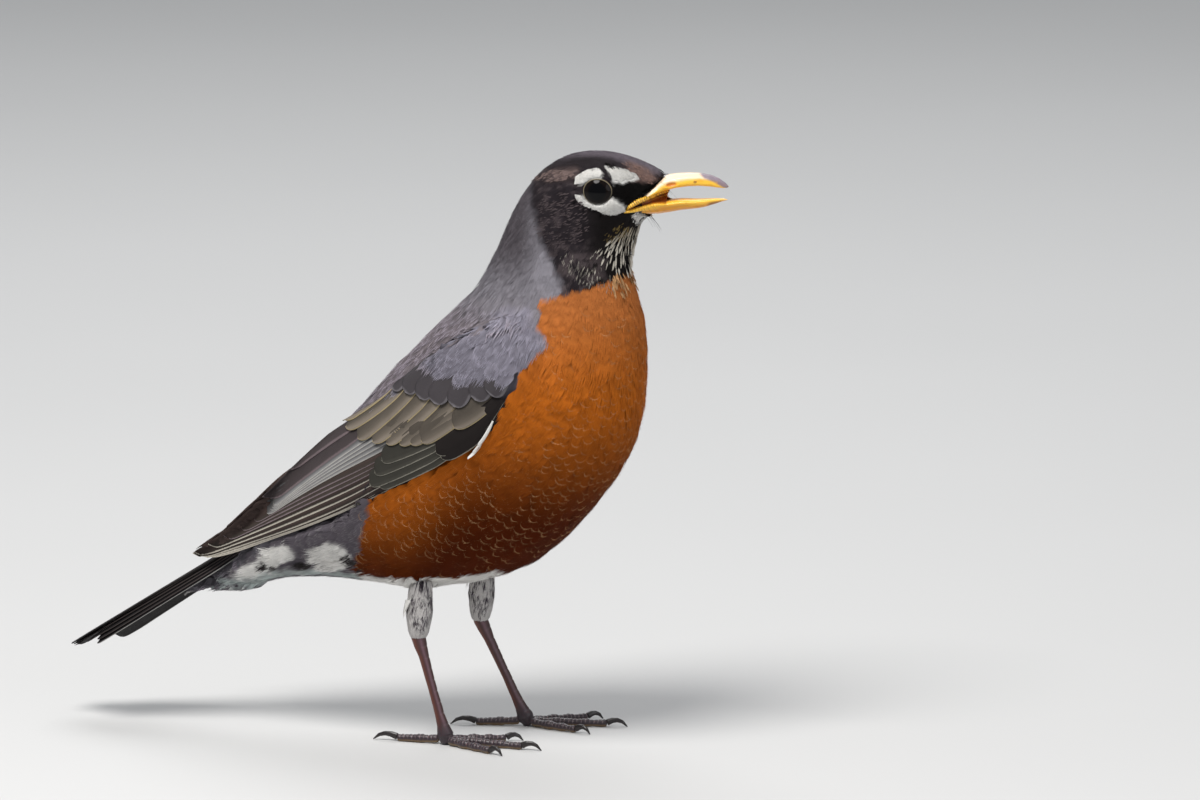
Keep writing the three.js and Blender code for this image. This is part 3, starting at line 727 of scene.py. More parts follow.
class Plumage:
    """Colour, rim colour and rim width of the small feathers at places on the skin."""

    def __init__(self, points):
        self.points = points
        self.x, self.y, self.z = points[:, 0], np.abs(points[:, 1]), points[:, 2]
        self.ragged = lattice_noise(points, 5.0, 3)
        self.fine = lattice_noise(points, 1.6, 5)
        self.colour, self.rim = self.all(MANTLE), self.all(MANTLE_RIM)
        self.width = np.full(len(points), 0.13)
        # Lower edge of the dark throat, and the line where the wing meets the flank.
        self.throat = BREAST_LINE_Z + BREAST_LINE_SLOPE * (self.x - BREAST_LINE_X) + 1.3 * self.ragged
        self.flank = WING_LINE_Z + WING_LINE_SLOPE * (self.x - WING_LINE_X)
        self.dx, self.dz = seen_from_eye(self.x, self.y, self.z)

    def all(self, colour):
        return np.tile(colour, (len(self.points), 1))

    def back(self):
        upper = smoothstep(118, 140, self.z + 2 * self.ragged)
        self.colour = blend(self.colour, NECK_SIDE, upper)
        self.rim = blend(self.rim, NECK_SIDE * 1.15, upper)
        self.colour = blend(self.colour, NAPE, smoothstep(52, 40, self.x) * smoothstep(128, 150, self.z))
        self.width = self.width * (1 - 0.7 * upper)
        self.colour = blend(self.colour, RUMP, smoothstep(0, -16, self.x))

    def wing_shoulder(self):
        s, w, beside = wing.coordinates(self.points)
        on_wing = beside * smoothstep(-0.06, 0.03, w) * smoothstep(0.03, -0.03, w - wing_front(s))
        self.on_wing = on_wing * smoothstep(0.62, 0.5, s) * smoothstep(0.95, 0.88, w)
        covert = blend(COVERT_BLUE, COVERT_BLUE * 0.75, smoothstep(0.02, 0.2, s))
        self.colour = blend(self.colour, covert, self.on_wing)
        self.rim = blend(self.rim, COVERT_BLUE * 1.3, self.on_wing)

    def breast(self):
        """Orange of the breast, belly and flanks, with painted light at the top and painted shade below."""
        x, z = self.x, self.z
        self.orange_end = ORANGE_END_X + 3 * self.ragged + 0.25 * (z - 60)
        front = (z < self.throat) & (x > WING_LINE_X + 1.5 + 1.5 * self.ragged)
        under = (z < self.flank) & (x > self.orange_end) & (x <= WING_LINE_X + 4)
        orange = ((front | under) & ~(self.on_wing > 0.3))[:, None]
        # Painted light and shade: lightest at the top, darker downward and towards the front of the
        # underside.
        depth = np.clip((140 - z) / 75 - 0.27 * smoothstep(34, 5, x), 0, 1)
        middle, low = smoothstep(0, 0.5, depth), smoothstep(0.4, 1, depth)
        warm = layered(self.all(ORANGE_LIT_HIGH), (ORANGE_MID, middle), (ORANGE_SHADED_LOW, low))
        self.colour = np.where(orange, warm, self.colour)
        self.rim = np.where(orange, blend(ORANGE_RIM, warm * 1.25, smoothstep(112, 128, z)), self.rim)
        self.width = np.where(orange[:, 0], 0.02, self.width)

    def underside(self):
        """White belly, vent and undertail coverts."""
        x, z = self.x, self.z
        below = z - np.interp(x, UNDER_X, UNDER_Z)
        belly = (below < 3.0 + 1.4 * self.fine) & (x < 31 + 4 * self.fine) & (x > ORANGE_END_X - 4)
        vent = (x <= self.orange_end) & (z < self.flank - 2)
        self.colour = np.where(belly[:, None], WHITE, self.colour)
        soft = 0.12 * lattice_noise(self.points, 1.3, 23)
        light = sum(smoothstep(1.15, 0.85, in_ellipse(x, z, *tuft) + soft) for tuft in VENT_WHITE)
        fringe = smoothstep(3.6, 1.8, below + 10 * soft) * smoothstep(0.2, 1.0, below + 8 * soft)
        light = np.clip(light + fringe, 0, 1)
        tuft = blend(UNDERTAIL, WHITE, smoothstep(2, 5, below))
        self.colour = np.where(vent[:, None], blend(self.all(VENT_GREY), tuft, light), self.colour)
        pale = belly | vent
        rim = blend(self.colour, WHITE, 0.1 + 0.3 * np.where(vent, light, 1))
        self.rim = np.where(pale[:, None], rim, self.rim)
        self.width = np.where(pale, 0.12, self.width)

    def head_colour(self):
        """Dark crown with a painted sheen along its top, ear, brow, forehead, lore, cheek and bib."""
        y, dx, dz, fine = self.y, self.dx, self.dz, self.fine
        hair = smoothstep(0.15, 0.6, lattice_noise(self.points * [0.5, 1, 1.6], 1.1, 51))
        brow = bell(dz - 4.7 - 0.14 * (dx + 10), 0, 1.5)
        brow = brow * smoothstep(-19, -14, dx) * smoothstep(-4.5, -6.5, dx)
        forehead = smoothstep(7.0, 11, dx) * smoothstep(2.2, 4.2, dz) * smoothstep(1.5, 4.5, y)
        lore = smoothstep(3.4, 5.2, dx) * smoothstep(4.2, 2.6, dz) * smoothstep(-7, -5, dz)
        return layered(
            self.all(EAR),
            (CROWN, smoothstep(4, 9, dz)),
            (EAR_STREAK, 0.55 * hair * smoothstep(2, -6, dx) * smoothstep(6, 0, dz)),
            # painted lilac sheen of the light along the top of the crown
            (CROWN_PAINTED_SHEEN, smoothstep(7, 2, y) * smoothstep(4, 8, dz) * smoothstep(-16, -2, dx)),
            (BROW_BUFF, brow * (0.25 + 0.6 * (fine > -0.1))),
            (FOREHEAD, forehead * (0.6 + 0.4 * fine)),
            (BLACK, lore),
            (BIB, 0.85 * (smoothstep(-7, 1, dx) * smoothstep(-4, -7, dz))),
        )

    def head(self):
        """The dark hood down to the throat, with a mottled lower edge."""
        edge = 47 - 5 * smoothstep(152, 167, self.z) + np.clip(152 - self.z, 0, 14) * 0.62 + 1.0 * self.ragged
        hood = smoothstep(-1.5, 1.5, self.x - edge) * (self.z > self.throat - 0.5)
        dark = self.head_colour()
        self.rim = blend(self.rim, dark * 1.35, hood)
        self.width = self.width * (1 - hood)
        self.colour = blend(self.colour, dark, hood)
        mottle = smoothstep(-17, -20, self.dz) * smoothstep(6, 0, self.dx) * hood
        self.colour = blend(self.colour, EAR_STREAK, 0.6 * mottle * (self.fine > 0.1))

    def face_marks(self):
        """White arcs round the eye, the patch before it and the one on the chin."""
        dx, dz = self.dx, self.dz
        jag = 0.35 * lattice_noise(self.points * [1, 1, 0.5], 0.8, 53)
        marks = (EYE_ARC_ABOVE, EYE_ARC_BELOW, EYE_PATCH, CHIN_PATCH)
        spots = [within(dx + jag, dz + jag, mark, 0.4) for mark in marks]
        streaks = np.column_stack([dx + 0.45 * dz, dz * 0.25, self.y * 0])
        gaps = smoothstep(0.25, 0.5, lattice_noise(streaks, 0.75, 55))
        spots[2] = spots[2] * (1 - 0.8 * gaps * smoothstep(4.2, 6.2, dz))
        white = np.clip(sum(spots), 0, 1) * (self.y > 3)
        self.colour = blend(self.colour, WHITE, white)
        self.rim = blend(self.rim, self.colour, white)


def plumage(points):
    """Colour, rim colour and rim width of the small feathers at places on the skin."""
    look = Plumage(points)
    for part in (look.back, look.wing_shoulder, look.breast, look.underside, look.head, look.face_marks):
        part()
    return look.colour, look.rim, look.width


# ---------------------------------------------------------------- feathers

BAKE_PATCH = 0.003  # size of one feather on the unwrap


def template_of(t, a, barb, solid, faces):
    """Points along (0 to 1) and across (-1 to 1) a feather, with the number of the barb they are on."""
    arrays = {"t": t, "a": a, "barb": barb, "faces": faces}
    return {"solid": solid, **{key: np.array(values) for key, values in arrays.items()}}


def vane_template(along_cells, across_cells, strands, solid=0.6):
    """Contour feather: a solid vane up to a share of its length, then loose barbs to its tip."""
    rows = np.linspace(0, solid, along_cells + 1)
    t, a = np.meshgrid(rows, np.linspace(-1, 1, across_cells + 1), indexing="ij")
    t, a = list(t.ravel()), list(a.ravel())
    row = across_cells + 1
    faces = []
    for i in range(along_cells):
        for j in range(across_cells):
            k = i * row + j
            faces += [(k, k + 1, k + row + 1), (k, k + row + 1, k + row)]
    barb = [-1] * len(t)
    half = 1.15 / strands
    for k in range(strands):
        middle = -1 + (2 * k + 1) / strands
        p = len(t)
        t += [solid - 0.12, solid - 0.12, 0.5 + solid / 2, 0.5 + solid / 2, 1.0]
        a += [middle - half, middle + half, middle - 0.55 * half, middle + 0.55 * half, middle]
        barb += [k] * 5
        faces += [(p, p + 1, p + 3), (p, p + 3, p + 2), (p + 2, p + 3, p + 4)]
    return template_of(t, a, barb, solid, faces)


def fringe_template(strands):
    """Only the pale ends of a feather's barbs, side by side in an arc at its tip."""
    t, a, barb, faces = [], [], [], []
    half = 0.3 / strands
    for k in range(strands):
        middle = -1 + (2 * k + 1) / strands
        t += [0.85, 0.85, 1.0]
        a += [middle - half, middle + half, middle * 1.1]
        barb += [k] * 3
        faces.append((3 * k, 3 * k + 1, 3 * k + 2))
    return template_of(t, a, barb, 0.8, faces)


class Coat:
    """Collects feathers of one part of the bird and makes them into a piece of joined meshes."""

    def __init__(self, name, slot, material):
        self.name, self.slot, self.material = name, slot, material
        self.faces, self.count = [], 0
        self.stores = {key: [] for key in ("points", "tint", "rim", "mark", "vane", "OFBake")}

    def add(self, faces, *values):
        """Feathers as arrays with a first axis over feathers and a second over points."""
        number, size = values[0].shape[:2]
        starts = self.count + np.arange(number)[:, None, None] * size
        self.faces.append((faces[None] + starts).reshape(-1, 3))
        for store, value in zip(self.stores.values(), values):
            store.append(np.ascontiguousarray(value).reshape(number * size, -1))
        self.count += number * size

    def make(self, replaces=()):
        table = {key: np.concatenate(store) for key, store in self.stores.items()}
        uvs = {key: table[key] for key in ("OFBake", "vane")}
        colours = {key: table[key] for key in ("tint", "rim", "mark")}
        mesh = new_mesh(self.name, table["points"], np.concatenate(self.faces), uvs, colours)
        return piece(self.name, mesh, self.material, replaces)


def unwrap(points):
    """Place of each root on an unwrap of the body round its spine, from 0 to 1 both ways."""
    along, direction = along_spine(points)
    out = points - along_line(along, SPINE_LENGTH, SPINE)
    up = unit(np.cross(np.tile([0.0, 1.0, 0.0], (len(points), 1)), direction))
    angle = np.arctan2(out[:, 1], np.sum(out * up, axis=1))
    return np.column_stack([along / SPINE_LENGTH[-1], (angle / math.tau) % 1])


def contour(coat, template, surface, roots, normals, direction, size, look, loose=1.0, near=False):
    """Lays small feathers over a surface, out to the coat's depth there.

    size holds each feather's length, half width and height. look holds its colour, rim colour, rim
    width and how much its middle is darkened. Where the marks are small, near, the colour is read
    at every point and not once for each feather.
    """
    number = len(roots)
    barb, faces, solid = template["barb"], template["faces"], template["solid"]
    length, half, depth = (value[:, None] for value in size)
    t = np.tile(template["t"], (number, 1))
    a = np.tile(template["a"], (number, 1))
    free = (barb >= 0) * smoothstep(solid - 0.1, 1, t)
    each = (number, barb.max() + 1)
    reach = rng.uniform(0.72, 1.06, each)[:, barb]
    sway = rng.normal(0, 0.05, each)[:, barb]
    rise = rng.normal(0, 0.06, each)[:, barb]

    # The outline, then the place of every point on the surface and its height above it.
    profile = 0.45 + 0.55 * smoothstep(0, 0.5, t) - 0.12 * smoothstep(0.7, 1.0, t)
    along = t * (1 - 0.30 * np.abs(a) ** 2.2 * t)
    along = np.where(free > 0, solid + (along - solid) * reach, along)
    across = a * profile + sway * free * loose
    sideways = np.cross(normals, direction)[:, None]
    flat = roots[:, None] + direction[:, None] * (along * length)[..., None]
    flat = flat + sideways * (across * half)[..., None]
    place, out = surface.nearest(flat)
    tilt = rng.normal(0, 0.05, number)[:, None] * a
    height = depth * (0.04 + 0.94 * np.clip(t, 0, 1) ** 0.33)
    height = height + (tilt + rise * free * loose) * depth - 0.05 * half * a**2
    points = place + out * height[..., None]

    colour, rim, width, centre = look
    # Each feather darkens towards its middle, its own pattern, and towards its root, partly its grey down and
    # partly painted shade under the feathers over it.
    shade = 1 - centre[:, None] * (1 - np.abs(a)) * smoothstep(1, 0.6, t)
    shade = ((0.7 + 0.3 * smoothstep(0.1, 0.7, t)) * shade)[..., None]
    tint = colour[:, None] * shade
    if near:
        seen = points * 0.7 + (roots + direction * length * 0.8)[:, None] * 0.3
        tint = plumage(seen.reshape(-1, 3))[0].reshape(tint.shape) * shade
    rims = np.broadcast_to(rim[:, None], tint.shape)
    widths = np.broadcast_to(width[:, None], t.shape)
    mark = np.stack([t, widths, np.broadcast_to(rng.random(number)[:, None], t.shape)], -1)
    vane = np.stack([across * half, along * length], -1) / 10
    bake = unwrap(roots)[:, None] + np.stack([across * 0.5, along - 0.5], -1) * BAKE_PATCH

    # Feathers that a crease of the surface would curl up are left out.
    strayed = np.linalg.norm(place - flat, axis=2).max(axis=1)
    step = np.linalg.norm(place[:, faces[:, 0]] - place[:, faces[:, 2]], axis=2).max(axis=1)
    keep = (strayed < 0.3 * size[0] + 1.0) & (step < 0.5 * size[0] + 0.6)
    coat.add(faces, points[keep], tint[keep], rims[keep], mark[keep], vane[keep], bake[keep])


def plain(coat, template, surface, roots, out, way, size, tone, rim=None, loose=1.0):
    """Small feathers of one tone each; size holds numbers or arrays."""
    full = np.ones(len(roots))
    look = (tone, tone if rim is None else rim, full * 0.1, full * 0)
    contour(coat, template, surface, roots, out, way, [full * value for value in size], look, loose)


def flow(points, normals):
    """Direction in which the feathers lie: back from the bill, then along the body to the tail."""
    _, spine = along_spine(points)
    away = points - (BILL_BASE + np.array([3.0, 0, 0]))
    distance = np.linalg.norm(away, axis=1)
    direction = blend(unit(away), spine, smoothstep(8, 34, distance))
    # Round the eye the feathers part and close again behind it.
    for side_name, side in SIDES:
        offset = (points - EYE[side_name]) * [1, 0, 1]
        near = smoothstep(9, 4.5, np.linalg.norm(offset, axis=1)) * (points[:, 1] * side > 4)
        direction = blend(direction, unit(direction + 1.1 * unit(offset)), near)
    return along_surface(direction, normals)


def turned(direction, normals, amount):
    """Directions turned about their normals at random, by this many radians or so."""
    turn = rng.normal(0, amount, len(direction))[:, None]
    return unit(direction * np.cos(turn) + np.cross(normals, direction) * np.sin(turn))


def scatter(spacing_of, candidates_per_area=9.0):
    """Roots on the skin no closer together than spacing_of says: places, normals and spacings."""
    corners = skin.points[skin.faces]
    centres = corners.mean(axis=1)
    area = np.linalg.norm(np.cross(corners[:, 2] - corners[:, 0], corners[:, 3] - corners[:, 1]), axis=1) / 2
    spacing = spacing_of(centres)
    copies = rng.poisson(area * candidates_per_area / spacing**2)
    index = np.repeat(np.arange(len(centres)), copies)
    p, q = rng.random((2, len(index), 1))
    c = corners[index]
    spots = (c[:, 0] * (1 - p) + c[:, 1] * p) * (1 - q) + (c[:, 3] * (1 - p) + c[:, 2] * p) * q
    order = rng.permutation(len(spots))
    spots, spacing = spots[order], spacing[index][order]
    tree = KDTree(len(spots))
    for k, spot in enumerate(spots.tolist()):
        tree.insert(spot, k)
    tree.balance()
    alive = np.ones(len(spots), bool)
    kept = []
    for k, spot in enumerate(spots.tolist()):
        if alive[k]:
            kept.append(k)
            for _, other, _ in tree.find_range(spot, spacing[k]):
                alive[other] = False
    roots, normals = skin.nearest(spots[kept])
    return roots, normals, spacing[kept]


# ---------------------------------------------------------------- materials


class Nodes:
    """Short names for building a material."""

    def __init__(self, name, roughness, specular=0.5, coat=0.0):
        self.material = bpy.data.materials.new(name)
        self.material.use_nodes = True
        self.tree = self.material.node_tree
        self.shader = self.tree.nodes["Principled BSDF"]
        self.shader.inputs["Roughness"].default_value = roughness
        self.shader.inputs["Specular IOR Level"].default_value = specular
        self.shader.inputs["Coat Weight"].default_value = coat

    def new(self, kind, **settings):
        """A node with its sockets set or linked by name, as in Base_Color for Base Color."""
        node = self.tree.nodes.new(f"ShaderNode{kind}")
        for key, value in settings.items():
            self.link(value, node.inputs[key.replace("_", " ")])
        return node

    def link(self, value, socket):
        if hasattr(value, "is_output"):
            self.tree.links.new(value, socket)
        else:
            socket.default_value = value

    def math(self, operation, *values):
        node = self.new("Math")
        node.operation = operation
        for socket, value in zip(node.inputs, values + (0.0,) * 3):
            self.link(value, socket)
        return node.outputs[0]

    def attribute(self, name):
        node = self.new("Attribute")
        node.attribute_name = name
        return node.outputs["Color"]

    def split(self, vector):
        return self.new("SeparateXYZ", Vector=vector).outputs

    def uv(self, name):
        node = self.new("UVMap")
        node.uv_map = name
        return node.outputs[0]

    def noise(self, scale, detail=3.0, stretch=None):
        """Noise from 0 to 1 over object space, scale in features per metre."""
        vector = self.new("TexCoord").outputs["Object"]
        if stretch:
            vector = self.new("Mapping", Vector=vector, Scale=stretch).outputs[0]
        return self.new("TexNoise", Scale=scale, Detail=detail, Vector=vector).outputs[0]

    def step(self, low, high, value):
        node = self.new("MapRange", Value=value, From_Min=low, From_Max=high)
        node.interpolation_type = "SMOOTHSTEP"
        return node.outputs[0]

    def mix(self, amount, first, second, kind="MIX"):
        node = self.new("Mix")
        node.data_type = "RGBA"
        node.blend_type = kind
        self.link(amount, node.inputs[0])
        for value, socket in ((first, node.inputs[6]), (second, node.inputs[7])):
            self.link(value if hasattr(value, "is_output") else (*value, 1.0)[:4], socket)
        return node.outputs[2]

    def grey(self, level):
        return self.new("CombineColor", Red=level, Green=level, Blue=level).outputs[0]

    def shaded(self, colour, level):
        """A colour made darker by a level."""
        return self.mix(1.0, colour, self.grey(level), "MULTIPLY")

    def tint_with_noise(self, scale, detail, amount, base):
        """The piece's own colour, uneven by noise."""
        level = self.math("MULTIPLY_ADD", self.noise(scale, detail), amount, base)
        return self.shaded(self.attribute("tint"), level)

    def bump(self, height, strength, distance):
        node = self.new("Bump", Strength=strength, Distance=distance, Height=height)
        self.link(node.outputs[0], self.shader.inputs["Normal"])

    def finish(self, colour, roughness=None):
        self.link(colour, self.shader.inputs["Base Color"])
        if roughness is not None:
            self.link(roughness, self.shader.inputs["Roughness"])
        return self.material


def feather_material(name, roughness, specular, barb_mm, barb_depth, ragged_rim):
    """Vane with barbs that run outward and forward from its shaft, and a rim of its own colour."""
    n = Nodes(name, roughness, specular=specular)
    across, along, _ = n.split(n.uv("vane"))
    to_tip, rim_width, chance = n.split(n.attribute("mark"))
    slant = n.math("MULTIPLY", n.math("ABSOLUTE", across), 1.1)
    barb = n.math("SUBTRACT", along, slant)
    barb = n.math("ADD", barb, n.math("MULTIPLY", n.noise(900.0, 2.0), 0.06))
    wave = n.math("SINE", n.math("MULTIPLY", barb, math.tau * 10 / barb_mm))
    ragged = n.math("MULTIPLY_ADD", n.noise(1500.0, 3.0), ragged_rim, -0.5 * ragged_rim)
    rim_place = n.math("ADD", to_tip, ragged)
    inner = n.math("MULTIPLY_ADD", rim_width, -1.7, 1.0)
    outer = n.math("MULTIPLY_ADD", rim_width, -0.4, 1.001)
    rim = n.step(inner, outer, rim_place)
    colour = n.mix(rim, n.attribute("tint"), n.attribute("rim"))
    level = n.math("MULTIPLY_ADD", wave, barb_depth, 1.0 - barb_depth)
    level = n.math("MULTIPLY", level, n.math("MULTIPLY_ADD", chance, 0.12, 0.94))
    level = n.math("MULTIPLY", level, n.math("MULTIPLY_ADD", n.noise(220.0, 4.0), 0.3, 0.86))
    n.bump(wave, 0.25, 0.00012)
    return n.finish(n.shaded(colour, level))


def skin_material():
    n = Nodes("under_plumage", 0.9, specular=0.1)
    colour = n.tint_with_noise(700.0, 4.0, 0.4, 0.6)
    n.bump(n.noise(900.0, 4.0), 0.4, 0.0004)
    return n.finish(colour)


PLUMAGE = feather_material(
    "plumage", roughness=0.85, specular=0.07, barb_mm=0.42, barb_depth=0.12, ragged_rim=0.14
)
FLIGHT = feather_material(
    "flight_feathers", roughness=0.6, specular=0.12, barb_mm=0.5, barb_depth=0.1, ragged_rim=0.1
)
UNDER = skin_material()


def tinted_piece(name, points, faces, colour, material, replaces=()):
    """A piece with a colour of its own at each point."""
    return piece(name, new_mesh(name, points, faces, colours={"tint": colour}), material, replaces)


# ---------------------------------------------------------------- skin and small feathers

MOUTH_SKIN = srgb(112, 52, 30)
WING_DARK = srgb(52, 48, 48)


def skin_tint():
    """The coat's own colours darkened as painted shade of the depths between the feathers, less near the eye,
    with the lining of the mouth, and the pale thighs darkened alike.
    """
    # Painted shade: the skin between the feathers is darkened to half, and less near the eye.
    shade = 0.5 + 0.4 * smoothstep(10, 8, from_eye(skin.points))
    colour = plumage(skin.points)[0] * shade[:, None]
    x, y, z = skin.points.T
    mouth = smoothstep(GAPE_X + 3, GAPE_X + 5, x) * (np.abs(z - GAPE_Z - 2) < 3) * (np.abs(y) < 5)
    colour = blend(colour, MOUTH_SKIN, mouth)
    # Below the body the thighs' pale colour is halved as painted shade.
    return np.where(below_body(skin.points)[:, None], THIGH * 0.5, colour)


replaced = FLESH + both("thigh", "wing_coverts")
tinted_piece("skin", skin.points, skin.faces, skin_tint(), UNDER, replaced)

for side_name, shell in wing_body.items():
    middles = shell.points[shell.faces].mean(axis=1)
    inside = (middles[:, 0] > -38) & (wing.coordinates(middles)[0] > 0.36)
    dark = np.broadcast_to(WING_DARK, shell.points.shape)
    name = f"wing_body_{side_name}"
    tinted_piece(name, shell.points, shell.faces[inside], dark, UNDER)


def root_spacing(points):
    """Distance between roots: small on the face, larger back along the body."""
    distance = np.linalg.norm(points - BILL_BASE, axis=1)
    spacing = np.interp(distance, [4, 8, 16, 26, 42, 60, 90], [0.7, 0.78, 1.0, 1.25, 1.6, 2.1, 2.5])
    _, w, beside = wing.coordinates(points)
    return np.where((beside > 0.5) & (w > -0.05), 1.9, spacing)


roots, normals, spacing = scatter(root_spacing)
direction = flow(roots, normals)
s, w, beside = wing.coordinates(roots)
distance = np.linalg.norm(roots - BILL_BASE, axis=1)
length = spacing * 4.2
half = spacing * 1.15
depth = coat_depth(roots)

# Scapulars are longer and turn down over the upper edge of the wing.
scapular = (w > -0.42) & (w < 0.03) & (s > -0.03) & (s < 0.47) & (np.abs(roots[:, 1]) > 5)
direction = direction + np.where(scapular, 0.38, 0.0)[:, None] * np.array([0, 0, -1.0])
direction = turned(along_surface(direction, normals), normals, 0.12)
length = np.where(scapular, 11.5, length)
half = np.where(scapular, 3.0, half)
fringe = (w > wing_front(s)) & (w < 1.6) & (s > -0.12) & (s < 0.2)

# Nothing grows under the closed wing, below its own larger feathers or inside the mouth.
buried = np.linalg.norm(hull.nearest(roots)[0] - roots, axis=1) > depth + 1.4
covert_line = np.interp(w, [0.05, 0.3, 0.45, 0.6, 0.75, 0.95], [0.25, 0.215, 0.165, 0.115, 0.06, 0.0])
hidden = (beside > 0.5) & (w > 0.02) & (w < 0.97) & (s > covert_line - 0.045) & ~fringe
hidden |= below_body(roots)
hidden |= buried & (distance > 40) & ~((w < 0.1) & (s < 0.5))
hidden |= (normals[:, 0] > 0.75) & (distance < 8)
from_eye_x, from_eye_z = roots[:, 0] - EYE_X, roots[:, 2] - EYE_Z
upper_lip, lower_lip = (np.interp(from_eye_x, lip[:, 0], lip[:, 1]) for lip in (UPPER_LIP, LOWER_LIP))
hidden |= (roots[:, 0] > EYE_X + 8.5) & (from_eye_z < upper_lip + 0.3) & (from_eye_z > lower_lip - 0.3)

# Feathers of the face stop at the rim of the eye, and its white arcs are laid on their own.
beside_eye = from_eye(roots) < 12
hidden |= from_eye(roots) < EYE_OPENING + 0.5
for _ in range(5):
    for share in (0.5, 1.0):
        tips = roots + direction * (length * share)[:, None]
        length = np.where(beside_eye & (from_eye(tips) < EYE_OPENING + 0.8), length * 0.75, length)
hidden |= beside_eye & (length < 1.0)
depth = depth * (0.3 + 0.7 * smoothstep(4.3, 7.0, from_eye(roots)))
dx, dz = seen_from_eye(roots[:, 0], np.abs(roots[:, 1]), roots[:, 2])
for mark in (EYE_ARC_ABOVE, EYE_ARC_BELOW):
    hidden |= within(dx, dz, mark) > 0.6

colour, rim, width = plumage(roots + direction * (0.8 * length)[:, None])
width = width * rng.uniform(0.0, 1.6, len(roots))
grey = smoothstep(0.9, 1.1, rim[:, 2] / rim[:, 0]) * smoothstep(50, 62, distance)
width = np.where(scapular, 0.17, width)
look = (colour * rng.normal(1, 0.035, (len(roots), 1)), rim, width, 0.42 * grey + 0.3 * scapular)
depth = depth + 0.5 * fringe + 0.25 * scapular

FACE_END, HEAD_END, NECK_END = 17, 34, 62  # distances from the bill
above_wing = roots[:, 2] > WING_LINE_Z + WING_LINE_SLOPE * (roots[:, 0] - WING_LINE_X) - 2
on_mantle = above_wing | (s < 0.12)
body = distance >= NECK_END
on_coverts = body & (beside > 0.5) & (w > -0.03) & (w < 0.97) & (s > -0.03) & (s < 0.4) & ~fringe
at_wing = on_mantle | fringe
# Piece, slot, which roots, how stray the barbs are, the surface, and the template's cells, barbs and
# solid share.
GROUPS = (
    ("coat_face", "plumage_head", distance < FACE_END, 1.0, skin, (2, 2, 5, 0.5)),
    ("coat_head", "plumage_head", (distance >= FACE_END) & (distance < HEAD_END), 1.0, skin, (2, 4, 7, 0.5)),
    ("coat_neck", "plumage_neck", (distance >= HEAD_END) & ~body, 1.0, skin, (3, 4, 11, 0.5)),
    ("coat_breast", "plumage_breast", body & ~(at_wing | on_coverts), 1.0, skin, (4, 6, 18, 0.55)),
    ("coat_wing", "plumage_wing", on_coverts, 0.8, mantle_surface, (4, 6, 16, 0.55)),
    ("coat_mantle", "plumage_rump", body & at_wing & ~on_coverts, 0.7, mantle_surface, (4, 6, 16, 0.62)),
)
for name, slot, where, loose, surface, cells in GROUPS:
    coat = Coat(name, slot, PLUMAGE)
    pick = np.flatnonzero(where & ~hidden)
    size, looks = ([part[pick] for part in parts] for parts in ((length, half, depth), look))
    ground = (surface, roots[pick], normals[pick], direction[pick])
    contour(coat, vane_template(*cells), *ground, size, looks, loose, name != "coat_mantle")
    coat.make()

# Hair-like feathers of the legs, white with dark streaks, down to the joint.
LEG_HAIRS = 1300
coat = Coat("coat_legs", "plumage_leg", PLUMAGE)
for line, radius in SHANKS.values():
    leg = Surface(*remeshed(*limb_tube(line, radius - 0.75, before=0.0, after=0.0), voxel=0.6, rounds=3))
    t, turn = rng.uniform(0.03, 0.72, LEG_HAIRS), rng.uniform(0, math.tau, LEG_HAIRS)
    around = np.column_stack([np.cos(turn), np.sin(turn), 0 * turn])
    middle = along_line(t, np.linspace(0, 1, len(line)), line)
    spots, out = leg.nearest(middle + around * 3.0)
    way = np.array([-0.12, 0.0, -1.0]) + rng.normal(0, 0.16, (LEG_HAIRS, 3))
    clump = lattice_noise(np.column_stack([turn * 2, t * 7, 0 * t]), 1.0, 41)
    streak = rng.random(LEG_HAIRS) < np.clip(0.24 + 0.6 * clump, 0, 1) * smoothstep(0.06, 0.32, t)
    tone = np.where(streak[:, None], THIGH_DARK * rng.uniform(0.5, 1.5, (LEG_HAIRS, 1)), THIGH)
    long = rng.uniform(3.0, 5.5, LEG_HAIRS) * np.interp(t, [0, 0.15], [0.5, 1])
    rim = blend(tone, WHITE, np.full(LEG_HAIRS, 0.5))
    way = along_surface(way, out)
    plain(coat, vane_template(2, 1, 4, 0.4), leg, spots, out, way, (long, 0.3, 0.75), tone, rim, 1.6)
coat.make()


def tufts(name, places, count, size, colour, template, loose):
    """Soft tufts on both flanks: places are ellipses in the side view (centre, size, turn)."""
    coat = Coat(name, "plumage_rump", PLUMAGE)
    index = rng.choice(len(skin.points), 60000)
    spots, out = skin.points[index], skin.normals[index]
    length, half, depth = size
    for place in places:
        inside = in_ellipse(spots[:, 0], spots[:, 2], *place) + rng.normal(0, 0.12, len(spots)) < 1
        pick = np.flatnonzero(inside & (np.abs(out[:, 1]) > 0.25))[:count]
        way = flow(spots[pick], out[pick]) + rng.normal(0, 0.18, (len(pick), 3))
        tone = colour * rng.uniform(0.85, 1.0, (len(pick), 1))
        long = length * rng.uniform(0.7, 1.1, len(pick))
        size = (long, half, depth * rng.uniform(0.7, 1.2, len(pick)))
        ground = (skin, spots[pick], out[pick], along_surface(way, out[pick]))
        plain(coat, template, *ground, size, tone, np.broadcast_to(colour, tone.shape), loose)
    coat.make()


VENT_TUFTS = (((-14.0, 55.5), (4.4, 4.0), 20), ((-31.0, 54.6), (3.8, 2.2), 15))
VENT_SPECKS = (
    ((-23.0, 52.6), (2.4, 1.0), 10),
    ((-7.0, 55.0), (1.6, 3.2), 60),
    ((-34.5, 51.4), (2.4, 0.7), 10),
)
SPECK = srgb(60, 56, 56)
tufts("vent_tufts", VENT_TUFTS, 320, (7.0, 0.9, 2.0), WHITE, vane_template(2, 2, 8, 0.2), 2.2)
tufts("vent_specks", VENT_SPECKS, 34, (5.5, 0.6, 2.3), SPECK, vane_template(2, 2, 4, 0.2), 2.0)

